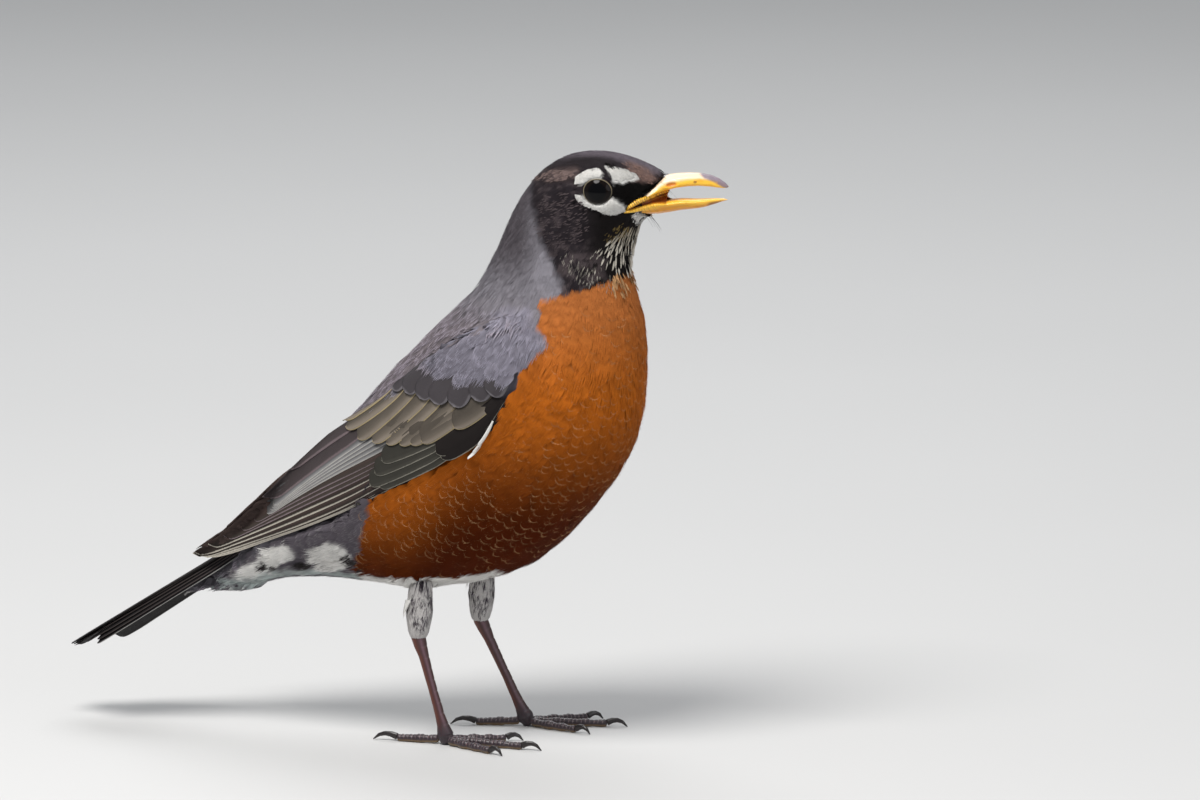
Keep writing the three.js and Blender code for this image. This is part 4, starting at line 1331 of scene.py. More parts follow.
# Pale fringes of the breast and belly, close on the lower breast and few above.
spots, out = skin.nearest(scatter(lambda points: np.full(len(points), 2.3))[0])
share = smoothstep(134, 104, spots[:, 2] - 0.25 * (spots[:, 0] - 25)) * smoothstep(-8, 6, spots[:, 0])
share = share * smoothstep(56, 64, spots[:, 2])
s, w, beside = wing.coordinates(spots)
bare = (beside > 0.5) & (w > -0.1) & (w < 1.04) & (s > -0.04)
tones = plumage(spots)[0]
ruddy = tones[:, 0] > 3.0 * tones[:, 2]
pick = np.flatnonzero(ruddy & ~bare & (rng.random(len(spots)) < 0.12 + 0.88 * share))
spots, out = spots[pick], out[pick]
way = turned(flow(spots, out), out, 0.2)
tone = ORANGE_RIM * rng.uniform(0.4, 1.05, (len(pick), 1))
size = (5, rng.uniform(1.2, 2.2, len(pick)), coat_depth(spots) * 1.08)
coat = Coat("breast_fringes", "plumage_breast", PLUMAGE)
plain(coat, fringe_template(12), skin, spots, out, way, size, tone, loose=0.3)
coat.make()


# ---------------------------------------------------------------- long feathers

PRIMARY = srgb(40, 36, 33)
PRIMARY_EDGE = srgb(196, 189, 176)
FOLDED = srgb(92, 76, 72)
SECONDARY = srgb(138, 137, 138)
SECONDARY_EDGE = srgb(176, 173, 168)
TERTIAL = srgb(66, 59, 60)
TERTIAL_EDGE = srgb(118, 105, 108)
PRIMARY_COVERT = srgb(70, 68, 62)
COVERT_EDGE = srgb(156, 152, 140)
GREATER = srgb(116, 107, 97)
GREATER_EDGE = srgb(158, 143, 108)
MEDIAN = srgb(66, 62, 65)
MEDIAN_EDGE = srgb(112, 108, 112)
ALULA = srgb(34, 29, 28)
TAIL = srgb(24, 21, 22)
TAIL_EDGE = srgb(78, 70, 68)
TAIL_TIP = srgb(200, 198, 194)
VANE_THICKNESS = 0.14


def closed_sheet(n, m):
    """Triangles of a sheet of n by m cells, its copy below, and the walls at its root and sides."""
    wide, faces = m + 1, []
    count = (n + 1) * wide
    for i in range(n):
        for j in range(m):
            k = i * wide + j
            c = count + k
            faces += [(k, k + wide, k + wide + 1), (k, k + wide + 1, k + 1)]
            faces += [(c, c + 1, c + wide + 1), (c, c + wide + 1, c + wide)]
        for k, turn in ((i * wide, 1), (i * wide + m, -1)):
            wall = [(k, count + k, count + k + wide), (k, count + k + wide, k + wide)]
            faces += [w[::turn] for w in wall]
    for j in range(m):
        faces += [(j, j + 1, count + j + 1), (j, count + j + 1, count + j)]
    return np.array(faces)


def long_vane(coat, lay, line, kind, cells, row, limit=None):
    """A closed feather laid on a sheet.

    line holds three places of the outer edge in the sheet's plane: root, middle and tip. The plane's
    second axis points to the outer edge. kind is a row as in KINDS. row is the feather's number and
    the count of them, for its place on the unwrap. limit is as far as the inner edge may reach.
    """
    outer, inner, lift, (inner_tone_and_shadow, outer_colour, rim_colour), rim_mm, tip, shaft = kind
    first, middle, last = (np.asarray(p, float) for p in line)
    n, m = cells
    t = 1 - (1 - np.linspace(0, 1, n + 1)) ** 1.35
    bend = 2 * middle - (first + last) / 2
    edge = first * ((1 - t) ** 2)[:, None] + bend * (2 * t * (1 - t))[:, None] + last * (t**2)[:, None]
    tangent = unit(np.gradient(edge, t, axis=0))
    beside = np.column_stack([-tangent[:, 1], tangent[:, 0]])
    size = np.linalg.norm(np.diff(edge, axis=0), axis=1).sum()

    # Width along the feather, rounded at its tip, and places across it from its outer edge.
    start = 1 - tip * 0.5 * (outer + inner) / size
    shape = np.sqrt(np.clip(1 - np.clip((t - start) / (1 - start), 0, 1) ** 2.2, 0, 1))
    shape = shape * (0.55 + 0.45 * smoothstep(0, 0.35, t))
    quill = edge - beside * outer
    a = np.linspace(1, 0, m + 1)
    room = np.full(n + 1, inner)
    if limit is not None:
        room = np.clip(quill[:, 1] - limit(quill[:, 0]), 0.2, inner)
    across = np.where(a > 0.5, (a - 0.5) * 2 * outer, (a - 0.5) * 2 * room[:, None])
    across = across * shape[:, None]
    flat = quill[:, None] + beside[:, None] * across[..., None]
    t2, a2 = np.meshgrid(t, a, indexing="ij")
    height = lift[0] + (lift[1] - lift[0]) * t2 + lift[2] * (a2 - 0.5)
    height = height - 0.25 * np.abs(a2 - 0.5) ** 2 * (outer + inner) / 10
    height = height + 0.09 * bell(across, 0, 0.45) * smoothstep(1, 0.85, t2)
    top = lay(flat[..., 0], flat[..., 1], height)
    bottom = lay(flat[..., 0], flat[..., 1], height - VANE_THICKNESS * np.sqrt(shape)[:, None])
    points = np.concatenate([top.reshape(-1, 3), bottom.reshape(-1, 3)])
    faces = closed_sheet(n, m)
    a_corner, b_corner, c_corner = (points[faces[:, k]] for k in range(3))
    if np.einsum("ij,ij->i", a_corner, np.cross(b_corner, c_corner)).sum() < 0:
        faces = faces[:, ::-1]

    # The colour runs from the inner side to the outer edge; where the inner side is darker, it is painted
    # shadow under the feather that overlaps it.
    tint = np.broadcast_to(inner_tone_and_shadow, t2.shape + (3,))
    tint = blend(tint, outer_colour, smoothstep(0.25, 0.95, a2))
    tint = tint * (1 - bell(across, 0, 0.22) * shaft)[..., None]
    to_edge = outer * shape[:, None] - across
    to_tip = (1 - t2) * size * 0.7
    gap = np.minimum(to_edge, np.where(t2 > start, to_tip, 99))
    rim_width = np.interp(t2, [0, 0.45, 0.8, 1], np.array([0.3, 1, 0.75, 0.4]) * rim_mm / 3)
    mark = np.stack([1 - np.clip(gap / 3, 0, 1), rim_width, np.full(t2.shape, rng.random())], -1)
    vane = np.stack([across, t2 * size], -1) / 10
    number, total = row
    bake = np.stack([0.01 + 0.98 * t2, (number + 0.06 + 0.4 * a2) / total], -1)
    values = []
    for value in (tint, np.broadcast_to(rim_colour, tint.shape), mark, vane, bake):
        upper = value.reshape(top[..., 0].size, -1)
        lower = upper + [0, 0.5 / total] if value is bake else upper
        values.append(np.concatenate([upper, lower])[None])
    coat.add(faces, points[None], *values)


# Each kind of wing feather: widths outside and inside the shaft, lift (root, tip, outer edge over
# inner edge), colours (inner, outer, rim), rim width, tip length and shaft darkness.
# Where a kind's inner colour is darker than its outer, that is painted shadow under the feather above.
PRIMARY_TONES = (FOLDED * 0.6, PRIMARY, PRIMARY_EDGE)
INNER_PRIMARY_TONES = (FOLDED * 0.6, PRIMARY * 2.4, TERTIAL_EDGE * 1.4)
SECONDARY_TONES = (SECONDARY * 0.3, SECONDARY, SECONDARY_EDGE)
COVERT_TONES = (PRIMARY_COVERT * 0.6, PRIMARY_COVERT, COVERT_EDGE)
GREATER_TONES = (GREATER * 0.45, GREATER * 1.3, GREATER_EDGE * 1.2)
KINDS = {
    "under": (3.0, 9.0, (-1.6, -1.0, 0.1), (FOLDED * 0.7, FOLDED, TERTIAL_EDGE), 0.3, 3.0, 0.2),
    "primary": (1.4, 2.6, (-1.5, -0.8, 0.2), PRIMARY_TONES, 0.42, 2.4, 0.3),
    "inner_primary": (1.4, 3.2, (-1.5, -0.75, 0.2), INNER_PRIMARY_TONES, 0.3, 2.0, 0.3),
    "secondary": (1.1, 3.2, (-1.5, -0.75, 0.2), SECONDARY_TONES, 0.3, 1.5, 0.25),
    "tertial": (3.0, 6.5, (-1.5, -0.75, 0.25), (TERTIAL * 0.8, TERTIAL, TERTIAL_EDGE), 0.6, 1.5, 0.3),
    "primary_covert": (1.6, 4.0, (-0.45, -0.1, 0.2), COVERT_TONES, 0.28, 1.2, 0.3),
    "alula": (2.0, 5.0, (-0.35, 0.05, 0.2), (ALULA, ALULA, COVERT_EDGE), 0.3, 1.4, 0.2),
    "greater": (2.1, 4.6, (-0.9, 0.15, 0.3), GREATER_TONES, 0.3, 1.3, 0.35),
    "median": (3.4, 3.8, (-1.4, 0.3, 0.15), (MEDIAN, MEDIAN, MEDIAN_EDGE), 0.8, 1.0, 0.15),
    "edge": (0.35, 0.45, (0.1, 0.75, 0.1), (WHITE, WHITE, STREAK_WHITE), 0.2, 2.6, 0.1),
}

# Outer edges of the wing's feathers by kind, from the lowest up, as (s, w) at root, middle and tip.
WING_FEATHERS = {
    "under": (
        ((0.40, 0.62), (0.70, 0.55), (0.985, 0.62)), ((0.38, 0.45), (0.66, 0.36), (0.930, 0.36)),
    ),
    "primary": (
        ((0.30, 0.95), (0.66, 0.965), (0.975, 0.95)), ((0.40, 0.93), (0.69, 0.945), (0.99, 0.80)),
        ((0.42, 0.885), (0.70, 0.89), (1.00, 0.66)), ((0.40, 0.82), (0.69, 0.78), (0.995, 0.48)),
        ((0.38, 0.76), (0.68, 0.685), (0.955, 0.44)),
    ),
    "inner_primary": (
        ((0.36, 0.71), (0.66, 0.62), (0.91, 0.42)), ((0.36, 0.67), (0.64, 0.57), (0.865, 0.42)),
        ((0.35, 0.63), (0.62, 0.525), (0.825, 0.39)),
    ),
    "secondary": (
        ((0.34, 0.56), (0.57, 0.475), (0.785, 0.41)), ((0.34, 0.50), (0.565, 0.44), (0.772, 0.39)),
        ((0.34, 0.44), (0.56, 0.40), (0.766, 0.37)), ((0.34, 0.38), (0.56, 0.365), (0.762, 0.35)),
        ((0.34, 0.32), (0.56, 0.33), (0.76, 0.335)),
    ),
    "tertial": (
        ((0.36, 0.24), (0.58, 0.275), (0.768, 0.23)), ((0.38, 0.13), (0.56, 0.12), (0.695, 0.05)),
    ),
    "primary_covert": (
        ((0.26, 0.96), (0.37, 0.95), (0.475, 0.92)), ((0.25, 0.90), (0.38, 0.885), (0.495, 0.84)),
        ((0.24, 0.83), (0.36, 0.80), (0.470, 0.75)), ((0.22, 0.78), (0.33, 0.735), (0.440, 0.665)),
    ),
    "alula": (
        ((0.10, 0.99), (0.21, 0.975), (0.305, 0.945)), ((0.10, 0.90), (0.22, 0.93), (0.312, 0.86)),
    ),
    "greater": (
        ((0.08, 0.80), (0.16, 0.82), (0.240, 0.765)), ((0.12, 0.73), (0.23, 0.725), (0.325, 0.715)),
        ((0.14, 0.665), (0.25, 0.665), (0.350, 0.68)), ((0.17, 0.58), (0.27, 0.60), (0.375, 0.63)),
        ((0.20, 0.45), (0.30, 0.495), (0.405, 0.55)), ((0.22, 0.34), (0.33, 0.40), (0.440, 0.45)),
        ((0.25, 0.21), (0.36, 0.265), (0.475, 0.335)), ((0.28, 0.10), (0.39, 0.135), (0.505, 0.15)),
        ((0.32, 0.00), (0.41, 0.02), (0.510, 0.04)),
    ),
    "median": (
        ((0.05, 0.72), (0.085, 0.79), (0.115, 0.82)), ((0.07, 0.62), (0.11, 0.69), (0.148, 0.75)),
        ((0.11, 0.48), (0.155, 0.57), (0.200, 0.655)), ((0.15, 0.34), (0.195, 0.43), (0.240, 0.52)),
        ((0.18, 0.22), (0.225, 0.31), (0.268, 0.40)), ((0.21, 0.08), (0.255, 0.17), (0.300, 0.26)),
        ((0.25, -0.03), (0.295, 0.05), (0.340, 0.13)),
    ),
    "edge": (
        ((0.150, 0.92), (0.18, 0.96), (0.212, 0.985)), ((0.165, 0.94), (0.20, 0.985), (0.232, 1.01)),
        ((0.180, 0.97), (0.215, 1.005), (0.250, 1.03)),
    ),
}  # fmt: skip

# Piece, slot, kinds of feather and the nodes they stand for.
FLIGHT_KINDS = ("under", "primary", "inner_primary", "secondary", "tertial", "alula")
COVERT_KINDS = ("primary_covert", "greater", "median", "edge")
WING_GROUPS = (
    ("wing_feathers", "flight_feathers", FLIGHT_KINDS, WING_NODES[1:]),
    ("wing_covert_feathers", "plumage_wing", COVERT_KINDS, ()),
)
VANE_CELLS, SHORT_VANE_CELLS, TAIL_CELLS = (30, 7), (14, 7), (34, 7)
OVERLAP = 0.045  # each flight feather lies this much higher than the one below it


def wing_feather(coat, side, number, total, kind, edge):
    outer, inner, lift, *rest = KINDS[kind]
    if kind in FLIGHT_KINDS[:-1]:
        lift = (lift[0] + OVERLAP * number, lift[1] + OVERLAP * number, lift[2])
    cells = SHORT_VANE_CELLS if kind == "median" else VANE_CELLS
    line = [wing.plane(*place) for place in edge]

    def lay(along, reach, height):
        return wing.lay(along, reach, height, side)

    long_vane(coat, lay, line, (outer, inner, lift, *rest), cells, (number, total), wing.upper_edge)


for side_name, side in SIDES:
    for group, slot, kinds, replaced in WING_GROUPS:
        coat = Coat(f"{group}_{side_name}", slot, FLIGHT)
        chosen = [(kind, edge) for kind in kinds for edge in WING_FEATHERS[kind]]
        for number, (kind, edge) in enumerate(chosen):
            wing_feather(coat, side, number, len(chosen), kind, edge)
        coat.make([f"{node}_{side_name}" for node in replaced])


class TailSheet:
    """The upper face of the closed tail, as heights over a plane through its root and tip."""

    ROWS = 24
    COLUMNS = 17

    def __init__(self):
        points, faces, _ = solid_shell(["tail"], grow=0.15, voxel=0.6, rounds=3)
        forward = points[:, 0] > points[:, 0].max() - 2
        back = points[:, 0] < points[:, 0].min() + 3
        self.start = points[forward].mean(axis=0) * [1, 0, 1]
        self.axis = unit((points[back].mean(axis=0) - self.start) * [1, 0, 1])
        self.up = unit(np.array([self.axis[2], 0, -self.axis[0]]))
        if self.up[2] < 0:
            self.up = -self.up
        along = (points - self.start) @ self.axis
        self.length = along.max()
        self.stations = np.linspace(1, self.length - 0.5, self.ROWS)
        slices = [points[np.abs(along - station) < 1.0][:, 1] for station in self.stations]
        low, high = (np.array([pick(part) for part in slices]) for pick in (np.min, np.max))
        self.middle, self.half = (low + high) / 2, (high - low) / 2
        self.height = self.find_heights(tree_of(points, faces))

    def find_heights(self, tree):
        """Heights of the upper face over the plane, with its gaps filled from the sides, smoothed."""
        shares = np.linspace(-1, 1, self.COLUMNS)
        heights = np.full((self.ROWS, self.COLUMNS), np.nan)
        for i, station in enumerate(self.stations):
            for j, share in enumerate(shares):
                aside = self.middle[i] + share * 0.96 * self.half[i]
                spot = self.start + self.axis * station + np.array([0, aside, 0])
                hit = tree.ray_cast(Vector(spot + self.up * 40), Vector(-self.up))[0]
                if hit is not None:
                    heights[i, j] = (np.array(hit) - spot) @ self.up
        for row in heights:
            known = ~np.isnan(row)
            row[:] = np.interp(shares, shares[known], row[known])
        for _ in range(3):
            heights = smoothed(smoothed(heights.T, 1).T, 1)
        return heights

    def lay(self, along, aside, lift):
        """Points on the tail: along from its root, aside to the bird's left of its middle line."""
        middle = np.interp(along, self.stations, self.middle)
        half = np.interp(along, self.stations, self.half)
        row = np.interp(along, self.stations, np.arange(self.ROWS))
        column = (np.clip(aside / half, -1, 1) + 1) / 2 * (self.COLUMNS - 1)
        height = bilinear(self.height, row, column)
        spot = self.start + along[..., None] * self.axis + (height + lift)[..., None] * self.up
        spot[..., 1] += middle + aside
        return spot


tail_sheet = TailSheet()
TAIL_PAIRS = 6
TAIL_FEATHER_WIDTH = 8.5


def tail_feather(coat, pair, side):
    """One of a pair of tail feathers, from 0 in the middle, on top, to the outermost, below."""
    share = (pair + 1) / TAIL_PAIRS
    tip_at = tail_sheet.length - 0.4 - 10.5 * float(smoothstep(0.3, 0.62, pair / TAIL_PAIRS))
    root_half, middle_half = np.interp([0.0, 0.55], np.linspace(0, 1, TailSheet.ROWS), tail_sheet.half)
    tip_half = np.interp(tip_at, tail_sheet.stations, tail_sheet.half)
    line = [
        (0.5, root_half * (0.3 + 0.6 * share)),
        (tip_at * 0.55, middle_half * (0.22 + 0.76 * share)),
        (tip_at, tip_half * (0.16 + 0.8 * share)),
    ]
    outer = 1.6 + 2.4 * (1 - share)
    lift = (-0.2 - 0.28 * pair, -0.2 - 0.58 * pair, 0.1)
    rim = TAIL_TIP * 0.5 if pair == TAIL_PAIRS - 1 else TAIL_EDGE

    def lay(along, aside, height):
        return tail_sheet.lay(along, aside * side, height)

    kind = (outer, TAIL_FEATHER_WIDTH - outer, lift, (TAIL * 0.9, TAIL, rim), 0.3, 0.7, 0.3)
    long_vane(coat, lay, line, kind, TAIL_CELLS, (pair * 2 + (side > 0), 2 * TAIL_PAIRS))


coat = Coat("tail_feathers", "flight_feathers", FLIGHT)
for pair in range(TAIL_PAIRS - 1, -1, -1):
    for _, side in SIDES:
        tail_feather(coat, pair, side)
coat.make(["tail"])


# ---------------------------------------------------------------- fine marks laid feather by feather


def on_side(dx, dz, side, tree=None):
    """Points of the skin seen from the side at places measured from the eye."""
    tree = tree or skin.tree
    spots = []
    for x, z in zip(EYE_X + np.asarray(dx, float), EYE_Z + np.asarray(dz, float)):
        hit = tree.ray_cast(Vector((x, side * 60, z)), Vector((0, -side, 0)))[0]
        if hit is None or hit.y * side < 0:
            hit = tree.find_nearest(Vector((x, side * 0.7, z)))[0]
        spots.append(hit)
    return np.array(spots)


def strokes(coat, cells, place, way, size, colour, loose=1.0):
    """Narrow feathers on both sides of the head, at places and along ways in the side view."""
    number = len(place)
    for _, side in SIDES:
        spots = on_side(place[:, 0], place[:, 1], side)
        for _ in range(3):
            behind = (EYE_PLANE - np.abs(spots[:, 1]))[:, None]
            shifted = place - behind * PLANE_SHIFT
            spots = on_side(shifted[:, 0], shifted[:, 1], side)
        roots, out = skin.nearest(spots)
        heading = along_surface(np.column_stack([way[:, 0], np.zeros(number), way[:, 1]]), out)
        tone = np.broadcast_to(colour, (number, 3)) * rng.uniform(0.82, 1.0, (number, 1))
        plain(coat, vane_template(*cells), skin, roots, out, heading, size, tone, loose=loose)


def spread(area, count):
    """Places inside an ellipse given by its centre, size and turn, measured from the eye."""
    (cx, cz), (wide, high), angle = area
    turn, reach = rng.uniform(0, math.tau, count), np.sqrt(rng.random(count))
    u, v = wide * reach * np.cos(turn), high * reach * np.sin(turn)
    c, s = math.cos(math.radians(angle)), math.sin(math.radians(angle))
    return np.column_stack([cx + u * c - v * s, cz + u * s + v * c])


BIB_FAN = np.array(  # start, middle and end of the hindmost and of the foremost streak
    [[(10.2, -8.6), (4.8, -12.8), (-2.0, -18.5)], [(15.2, -8.2), (12.2, -15.5), (8.8, -25.0)]]
)
BIB_STREAKS = 9
STREAK_HAIRS = 9


def bib_streak(coat, share):
    """One white streak of the throat, from 0 for the hindmost to 1 for the foremost."""
    first, middle, last = BIB_FAN[0] * (1 - share) + BIB_FAN[1] * share
    t = (np.arange(STREAK_HAIRS) + rng.uniform(-0.35, 0.35, STREAK_HAIRS))[:, None] / 10 + 0.04
    place = first * (1 - t) ** 2 + (4 * middle - first - last) * t * (1 - t) + last * t**2
    way = unit(np.gradient(place, axis=0)) + rng.normal(0, 0.03, place.shape)
    buff = 0.7 * (1 - share) * smoothstep(0.55, 0.15, t[:, 0])
    tone = blend(np.tile(STREAK_WHITE, (STREAK_HAIRS, 1)), BUFF, buff)
    stand = 0.9 + 1.1 * share * np.sin(math.pi * t[:, 0])
    size = (rng.uniform(3.4, 5.4, STREAK_HAIRS), 0.13 + 0.17 * t[:, 0], stand)
    strokes(coat, (4, 1, 2, 0.75), place, way, size, tone, 0.8)


bib = Coat("bib_streaks", "plumage_head", PLUMAGE)
for share in np.linspace(0, 1, BIB_STREAKS):
    bib_streak(bib, share)
# Speckles below the streaks: area, count, way, tone and its range, lengths, height, cells, looseness.
for area, count, way, tone, bright, long, height, cells, loose in (
    (((-2.5, -22.0), (8.5, 3.6), -28), 90, (-0.32, -0.94), STREAK_WHITE, (0.25, 0.8), (2.4, 4.2), 1.0,
     (2, 1, 2, 0.5), 1.2),
    (((7.4, -25.0), (3.2, 3.4), 0), 60, (-0.2, -0.97), ORANGE_RIM, (0.6, 1.0), (2.5, 4.0), 1.4,
     (3, 1, 2, 0.6), 1.0),
):  # fmt: skip
    place = spread(area, count)
    ways = np.array(way) + rng.normal(0, 0.08, place.shape)
    tones = tone * rng.uniform(*bright, (count, 1))
    strokes(bib, cells, place, ways, (rng.uniform(*long, count), 0.22, height), tones, loose)
bib.make()

hairs = Coat("face_hairs", "plumage_head", PLUMAGE)
HAIR_CELLS = (2, 1, 2, 0.5)
for area, count, tone, way, size, height in (
    (((-9.5, -8.5), (8.0, 8.5), 0), 260, EAR_STREAK * 0.95, (-0.9, -0.42), 2.2, 1.15),
    (((-12.0, 4.2), (6.5, 1.5), 8), 130, BROW_BUFF * 1.2, (-0.9, -0.5), 1.9, 1.15),
    (((14.0, 6.0), (6.0, 1.7), -30), 80, FOREHEAD * 1.2, (-0.95, 0.35), 1.3, 0.75),
    (((6.5, -11.0), (4.0, 2.2), 30), 50, BUFF, (-0.8, -0.6), 1.8, 0.85),
):
    place = spread(area, count)
    ways = np.array(way) + rng.normal(0, 0.14, place.shape)
    size = (size * rng.uniform(0.7, 1.15, count), 0.16, height)
    strokes(hairs, HAIR_CELLS, place, ways, size, tone, 1.3)
for outline, count, way, size, fan in (
    (EYE_ARC_ABOVE, 1000, (-0.7, 0.1), 1.1, 0.9),
    (EYE_ARC_BELOW, 1500, (-0.4, -0.3), 0.95, 0.9),
    (EYE_PATCH, 800, (-0.55, 0.8), 1.4, 0.0),
    (CHIN_PATCH, 60, (-0.6, -0.7), 1.6, 0.0),
):
    place = rng.uniform(np.min(outline, axis=0), np.max(outline, axis=0), (count * 2, 2))
    place = place[within(place[:, 0], place[:, 1], outline) > 0.5]
    place = place[from_opening(*place.T) > EYE_OPENING + 0.35]
    ways = unit(np.array(way) + fan * unit(place)) + rng.normal(0, 0.08, place.shape)
    inner = within(*(place + unit(ways) * size * 0.9).T, outline) > 0.5
    long = size * rng.uniform(0.75, 1.1, len(place)) * np.where(inner, 1.0, 0.45)
    strokes(hairs, (2, 1, 3, 0.5), place, ways, (long, 0.17, 0.8), WHITE, 0.7)
place = spread(((6.4, 7.0), (3.0, 0.8), -10), 16)
ways = np.array((-0.4, 0.9)) + rng.normal(0, 0.1, place.shape)
strokes(hairs, HAIR_CELLS, place, ways, (rng.uniform(1.4, 2.4, len(place)), 0.2, 1.05), BLACK, 0.7)
hairs.make()


# ---------------------------------------------------------------- eyes and lids


IRIS = srgb(16, 10, 8)
PUPIL = srgb(3, 3, 5)
LID = srgb(160, 146, 116)
LID_DARK = srgb(20, 17, 16)
LID_OVAL = 0.067  # the opening is a little wider than high
LID_STEPS = 120
LID_ROWS = (  # distance from the eye's axis, height over the eyeball, how pale
    (3.30, -0.50, 0), (3.64, 0.02, 0), (3.80, 0.16, 0), (3.88, 0.23, 0.8), (3.95, 0.25, 1),
    (4.01, 0.21, 0.5), (4.08, 0.12, 0), (4.20, -0.10, 0), (4.40, -0.60, 0),
)  # fmt: skip
LID_OUTSIDE = 4.05  # rows beyond this take the plumage's colour


def eye_material():
    n = Nodes("eye", 0.09, specular=0.14)
    return n.finish(n.tint_with_noise(1500.0, 2.0, 0.5, 0.75))


def lid_material():
    n = Nodes("eyelid", 0.6, specular=0.3)
    n.bump(n.noise(2500.0, 3.0), 0.4, 0.0001)
    return n.finish(n.tint_with_noise(1800.0, 3.0, 0.5, 0.7))


EYE_GLASS, LID_SKIN = eye_material(), lid_material()


def eyeball(side_name, axis):
    """The ball with its pupil and iris, drawn in where the lids and the skin cover it."""
    points, quads, _ = solid_shell([f"eye_{side_name}"], grow=0.0, voxel=0.3, rounds=4)
    ray = unit(points - EYE[side_name])
    off_axis = np.linalg.norm(np.cross(ray, axis), axis=1) * EYE_RADIUS
    front = ray @ axis > 0
    coloured = smoothstep(2.5, 2.9, off_axis) * smoothstep(4.1, 3.4, off_axis) * front
    tint = blend(np.tile(PUPIL, (len(points), 1)), IRIS, coloured)
    shrink = 1 - 0.2 * np.where(front, smoothstep(3.95, 4.3, off_axis), 1)
    points = EYE[side_name] + ray * (EYE_RADIUS * shrink)[:, None]
    tinted_piece(f"eyeball_{side_name}", points, quads, tint, EYE_GLASS, [f"eye_{side_name}"])


def eyelids(side_name, side, axis):
    """The thin rim round the eye's opening, pale but for its front and upper part, darkened there as painted
    shadow of the brow.
    """
    forward = unit(np.cross(np.cross(axis, [1.0, 0, 0]), axis))
    upward = np.cross(forward, axis) * -side
    turn = np.linspace(0, math.tau, LID_STEPS, endpoint=False)
    radial = np.cos(turn)[:, None] * forward + np.sin(turn)[:, None] * upward
    # Painted shadow of the brow: the pale ring is darkened over its front and top.
    light = 0.85 - 0.8 * np.clip(np.sin(turn + 0.3), 0, 1) ** 0.7
    rows, tints = [], []
    for radius, height, pale in LID_ROWS:
        radius = radius * (1 + LID_OVAL * np.cos(2 * turn))[:, None]
        on_ball = axis * np.sqrt(EYE_RADIUS**2 - np.minimum(radius, 5.9) ** 2) + axis * height
        rows.append(EYE[side_name] + on_ball + radial * radius)
        outside = radius.mean() > LID_OUTSIDE
        around = plumage(rows[-1])[0] * 0.8 if outside else np.tile(LID_DARK, (LID_STEPS, 1))
        tints.append(blend(around, LID, pale * light))
    faces = grid_faces(len(rows), LID_STEPS, True)
    points, tint = np.concatenate(rows), np.concatenate(tints)
    tinted_piece(f"eyelids_{side_name}", points, faces, tint, LID_SKIN)


for side_name, side in SIDES:
    axis = unit(np.array([0.09, side, 0.05]))
    eyeball(side_name, axis)
    eyelids(side_name, side, axis)


# ---------------------------------------------------------------- bill


def horn_material(name, roughness, grain, bump, coat=0.0):
    n = Nodes(name, roughness, specular=0.45, coat=coat)
    n.shader.inputs["Subsurface Weight"].default_value = 0.08
    n.shader.inputs["Subsurface Scale"].default_value = 0.001
    streak = n.noise(grain, 4.0, stretch=(0.25, 1.0, 1.0))
    n.bump(streak, bump, 0.00015)
    shade = n.math("MULTIPLY_ADD", streak, 0.22, 0.89)
    rough = n.math("MULTIPLY_ADD", n.noise(600.0, 3.0), 0.25, roughness - 0.12)
    return n.finish(n.shaded(n.attribute("tint"), shade), rough)


BILL_YELLOW = srgb(244, 190, 60)
BILL_ORANGE = srgb(222, 146, 28)
CULMEN = srgb(244, 218, 186)
BILL_TIP = srgb(122, 110, 128)
GAPE_BROWN = srgb(112, 62, 20)
MOUTH = srgb(132, 68, 28)
# Orange for the nostril's pit, a painted shade:
NOSTRIL_SHADE_ORANGE = srgb(206, 118, 22)
HORN_BROWN = srgb(128, 74, 34)
BRISTLE_DARK, BRISTLE_PALE = srgb(22, 18, 16), srgb(52, 44, 38)

HORN = horn_material("bill", roughness=0.36, grain=1400.0, bump=0.25, coat=0.15)
FEATHER_EDGE_X = HEAD_HIGH[0]
NOSTRIL_PLACE = ((FEATHER_EDGE_X + 2.7, BILL_HIGH[2] - 3.1), (1.8, 0.72), 8)
BROWN_SPOT = ((FEATHER_EDGE_X + 9.6, BILL_HIGH[2] - 2.2), (0.5, 0.34), 0)


def height_share(points, step=0.5):
    """Share of a bill's height, from 0 at its lower edge to 1 at its upper, and that upper edge."""
    index = ((points[:, 0] - points[:, 0].min()) / step).astype(int)
    low, high = np.full(index.max() + 1, 1e9), np.full(index.max() + 1, -1e9)
    np.minimum.at(low, index, points[:, 2])
    np.maximum.at(high, index, points[:, 2])
    centres = points[:, 0].min() + (np.arange(len(low)) + 0.5) * step
    bottom, top = np.interp(points[:, 0], centres, low), np.interp(points[:, 0], centres, high)
    return (points[:, 2] - bottom) / np.maximum(top - bottom, 0.4), top


def speckle(points, seed):
    return smoothstep(0.35, 0.8, lattice_noise(points, 0.8, seed))


